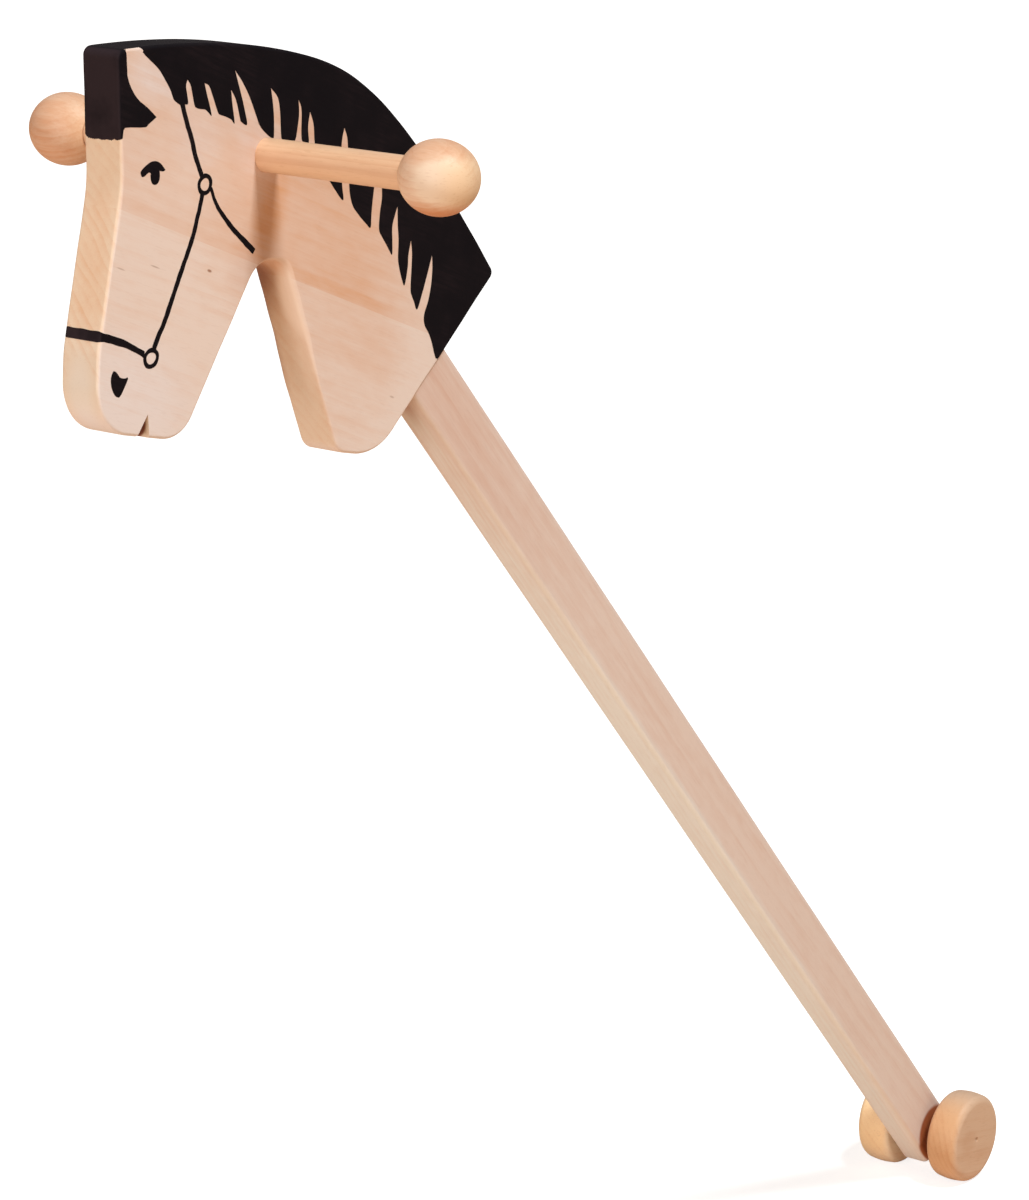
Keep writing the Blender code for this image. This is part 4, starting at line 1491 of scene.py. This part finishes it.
HEAD_WOOD = WoodFinish(
    "head_wood_grain", pale=(229, 207, 194), dark=(214, 155, 113), end=(251, 245, 226),
    fleck=(150, 100, 70), along=GRAIN, pith=(262, 232), ring_width=4.6, ring_share=0.14,
    end_ring_share=0.14, cloud_share=0.34, fibre_share=0.25, roughness=0.55, fleck_share=0.05, glue_line=49,
    # A faint painted highlight along all the arrises.
    upper_tone=0.26, arris_highlight_share=0.05,
    ovals=(
        Oval((45, 20, 0), (100, 95, 60), 0.32),
        Oval((70, 45.5, 0), (90, 4, 60), 0.14),
        Oval((-70, 46, 0), (70, 6, 60), 0.08),
        Oval((90, 74, 0), (55, 3.5, 60), 0.07),
        Oval((-19.4, 60.0, -11), (2.2, 0.9, 6), 0.9, Stain.FLECK),
        Oval((-56.8, 67.4, -11), (4.5, 0.5, 6), 0.5, Stain.FLECK),
        Oval((-78.8, 73.9, -11), (4.0, 0.5, 6), 0.4, Stain.FLECK),
        Oval((135.7, 84.6, -11), (2.5, 0.7, 6), 0.4, Stain.FLECK),
        # Painted shade deep in the mouth's slit, darker away from the near side.
        Oval((-36.5, 137, 0), (7, 9.5, 10.2), 1, Stain.SAWN, 0.85),
        Oval((-36.5, 137, 0), (7, 9.5, 10), 0.7, Stain.SAWN, 0.85),
        # Painted shade on the throat's sawn edge, at its top and down its far side, where the jaw shades it.
        Oval((42, 54, 10), (22, 22, 17), 0.6, Stain.SAWN, 0.1),
        Oval((37, 48, 8), (14, 13, 15), 0.6, Stain.SAWN, 0.2),
        Oval((55, 68, 14), (70, 70, 9), 0.6, Stain.SAWN, 0.2),
        # Painted light on the throat edge's near side, where its broad sanded bevel catches the light.
        Oval((47, 59, -11), (25, 25, 12.5), 0.85, Stain.SANDED, 0.5),
        Oval((64, 77, -9), (34, 34, 14), 0.4, Stain.SANDED, 0.2),
        # Painted highlight along the throat's arrises.
        Oval((50, 64, 0), (66, 66, 30), 0.35, Stain.ARRIS),
        Oval((-86, 75, 0), (16, 60, 12), 0.16),
        Oval((-72, 134, 0), (20, 26, 12), -0.5),
        Oval((-86, -12, 0), (32, 17, 30), 1, Stain.TINT),
        Oval((8, -8, 0), (66, 13, 30), 0.8, Stain.TINT),
        Oval((-6, 4, 0), (26, 13, 30), 0.8, Stain.TINT),
        Oval((-50, 6, 0), (30, 20, 30), 0.5, Stain.TINT),
        Oval((-52, 126, 0), (66, 42, 30), 0.65, Stain.TINT),
        Oval((-76, 134, 0), (22, 28, 10), 0.6, Stain.TINT),
        Oval((115, 64, 0), (40, 28, 30), 0.18),
        Oval((100, 75, -11), (52, 55, 8), 0.14),
        # Painted shade on the near side next to the throat's notch.
        Oval((9, 50, -11), (22, 28, 8), 0.14, Stain.SCORCH, 0.1),
        # Painted shadow: the wood darker and warmer where the handle's shadow falls below it.
        Oval((13, 25, -11), (16, 26, 8), 0.4, ease_from=0.2),
    ),
    # Colour of the painted shade.
    scorch=(172, 108, 66),
)
STICK_WOOD = WoodFinish(
    "stick_wood_grain", pale=(224, 201, 188), dark=(202, 146, 117), end=(255, 235, 210),
    fleck=(160, 118, 92), along=STICK_GRAIN, pith=(30, 90), ring_width=3.5, ring_share=0.16,
    fleck_share=0.06,
    ovals=(
        Oval((180, 10, 0), (280, 60, 60), 0.27),
        Oval((560, 8, 0), (600, 9.8, 20), 1, Stain.TINT, 0.4),
        # Painted highlight along the front strip's arrises.
        Oval((560, 7, 0), (640, 6, 20), 0.5, Stain.ARRIS, 0.6),
        # Painted shade: the near wheel's contact shadow on the stick's near side.
        Oval((931, -10, -9.5), (20.5, 18.5, 4), 1, Stain.SCORCH, 0.85),
        # Painted shade at the top of the front strip, where the neck's foot shades it.
        Oval((168, 8, 0), (34, 10, 9.4), 0.8, Stain.SCORCH, 0.2),
    ),
    # The painted shade's colour, and the tint.
    scorch=(185, 115, 72), tint=(260, 284, 296),
)
HANDLE_WOOD = WoodFinish(
    "handle_wood_grain", pale=(218, 175, 139), dark=(194, 134, 96), end=(245, 225, 200),
    fleck=(160, 106, 70), along=(0, 1, 0), through=(1, 0, 0), pith=(20, 30), ring_width=3, ring_share=0.3,
    roughness=0.45, coat=0.15,
)
KNOB_WOOD = WoodFinish(
    "knob_wood_grain", pale=(227, 200, 174), dark=(200, 132, 88), end=(255, 244, 228), fleck=(170, 114, 74),
    along=(0, 1, 0), through=(1, 0, 0), pith=(-95, 30), ring_width=3.4, ring_share=0.19, specular=0.25,
    coat=0.04, upper_tone=0.2, glue_line=200,
    ovals=(
        # Painted shade: the near knob's lower half darker.
        Oval((-112, -19, 0), (30, 14, 30), 0.9),
        # Painted shade: the near knob's top a little darker, against the lamp above.
        Oval((-112, 16, 0), (30, 14, 30), 0.35),
        # Painted highlight: the near knob's outer front paler, where it faces the front light.
        Oval((-121, 1, -13), (16, 14, 16), -0.5),
        # The far knob darker all over.
        Oval((112, 0, 0), (30, 30, 30), 0.55),
    ),
)
AXLE_WOOD = WoodFinish(
    "axle_wood_grain", pale=(222, 184, 148), dark=(190, 142, 104), end=(255, 235, 210),
    fleck=(150, 104, 70), along=(0, 1, 0), through=(1, 0, 0), pith=(9, 12), centre=WHEEL_PLACE,
    body=Body.WHEEL_SET,
)
WHEEL_WOOD = WoodFinish(
    "wheel_wood_grain", pale=(210, 174, 145), dark=(188, 132, 94), end=(255, 238, 214),
    fleck=(160, 110, 76), along=(0.976, 0, -0.218), pith=(40, 60), ring_width=3.4, ring_share=0.25,
    centre=WHEEL_PLACE, specular=0.25, coat=0.04, body=Body.WHEEL_SET,
    ovals=(
        Oval((0, 0, -35), (2.2, 1.5, 1.5), 0.6, Stain.SCORCH, 0.3),
        Oval((0, 0, 35), (2.2, 1.5, 1.5), 0.6, Stain.SCORCH, 0.3),
        Oval((-9, 1, -35), (12, 9, 8), 0.25),
    ),
    scorch=(110, 66, 38),
)
# Painted light: the far wheel's wood is a paler copy of the near wheel's, as if more light fell on it.
FAR_WHEEL_PAINTED_LIGHT_WOOD = replace(WHEEL_WOOD, name="far_wheel_painted_light_wood_grain", pale=(252, 231, 202), dark=(230, 186, 148))
DOWEL_WOOD = WoodFinish(
    "joint_dowel_wood_grain", pale=(228, 198, 162), dark=(198, 154, 116), end=(255, 235, 210),
    fleck=(150, 104, 70), along=STICK_GRAIN, pith=(30, 40), coat=0,
)


class HobbyHorse:
    """The whole toy."""

    def __init__(self) -> None:
        """Make the materials' maker, the paint, and the two parts that others are fitted to."""
        self.woods = WoodMaker(Shared())
        self.paint = PaintFinish().make()
        self.board = Board()
        self.stick = Stick()

    def dress(self, obj: Object, finish: WoodFinish, slot: str, *nodes: str) -> None:
        """Give a wooden piece its material and its body, and hide the CAD nodes that it stands for."""
        obj.data.materials.clear()
        obj.data.materials.append(self.woods.make(finish))
        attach(obj, finish.body.value)
        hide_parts(*nodes)
        LOG.info("%s: %d faces", obj.name, len(obj.data.polygons))

    def brush(self, pieces: list[Object]) -> None:
        """Give painted pieces their material and body."""
        for obj in pieces:
            obj.data.materials.append(self.paint)
            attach(obj, Body.HORSE.value)
            LOG.info("%s: %d faces", obj.name, len(obj.data.polygons))

    def build(self) -> None:
        """Build and dress every piece of the toy."""
        self.dress(Head(self.board, self.stick).build(), HEAD_WOOD, "head_wood", "head_board")
        for painted in (Mane, Bridle, Face):
            self.brush(painted(self.board).build())
        self.dress(self.stick.build(self.board), STICK_WOOD, "stick_wood", "stick")
        turning = Turning()
        self.dress(turning.handle(), HANDLE_WOOD, "handle_wood", "handle_dowel")
        self.dress(turning.axle(), AXLE_WOOD, "axle_wood", "axle_dowel")
        for side in Side:
            self.dress(turning.knob(side), KNOB_WOOD, "knob_wood", "knob_" + side.word)
            finish = WHEEL_WOOD if side is Side.LEFT else FAR_WHEEL_PAINTED_LIGHT_WOOD
            self.dress(turning.wheel(side), finish, "wheel_wood", "wheel_" + side.word)
        material = self.woods.make(DOWEL_WOOD)
        for dowel in JOINT_DOWELS:
            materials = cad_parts[dowel].data.materials
            materials.clear()
            materials.append(material)


def main() -> None:
    """Build the toy and the studio."""
    logging.basicConfig(level=logging.INFO, format="%(message)s")
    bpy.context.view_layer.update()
    HobbyHorse().build()
    Studio().build()


if __name__ == "__main__":
    main()
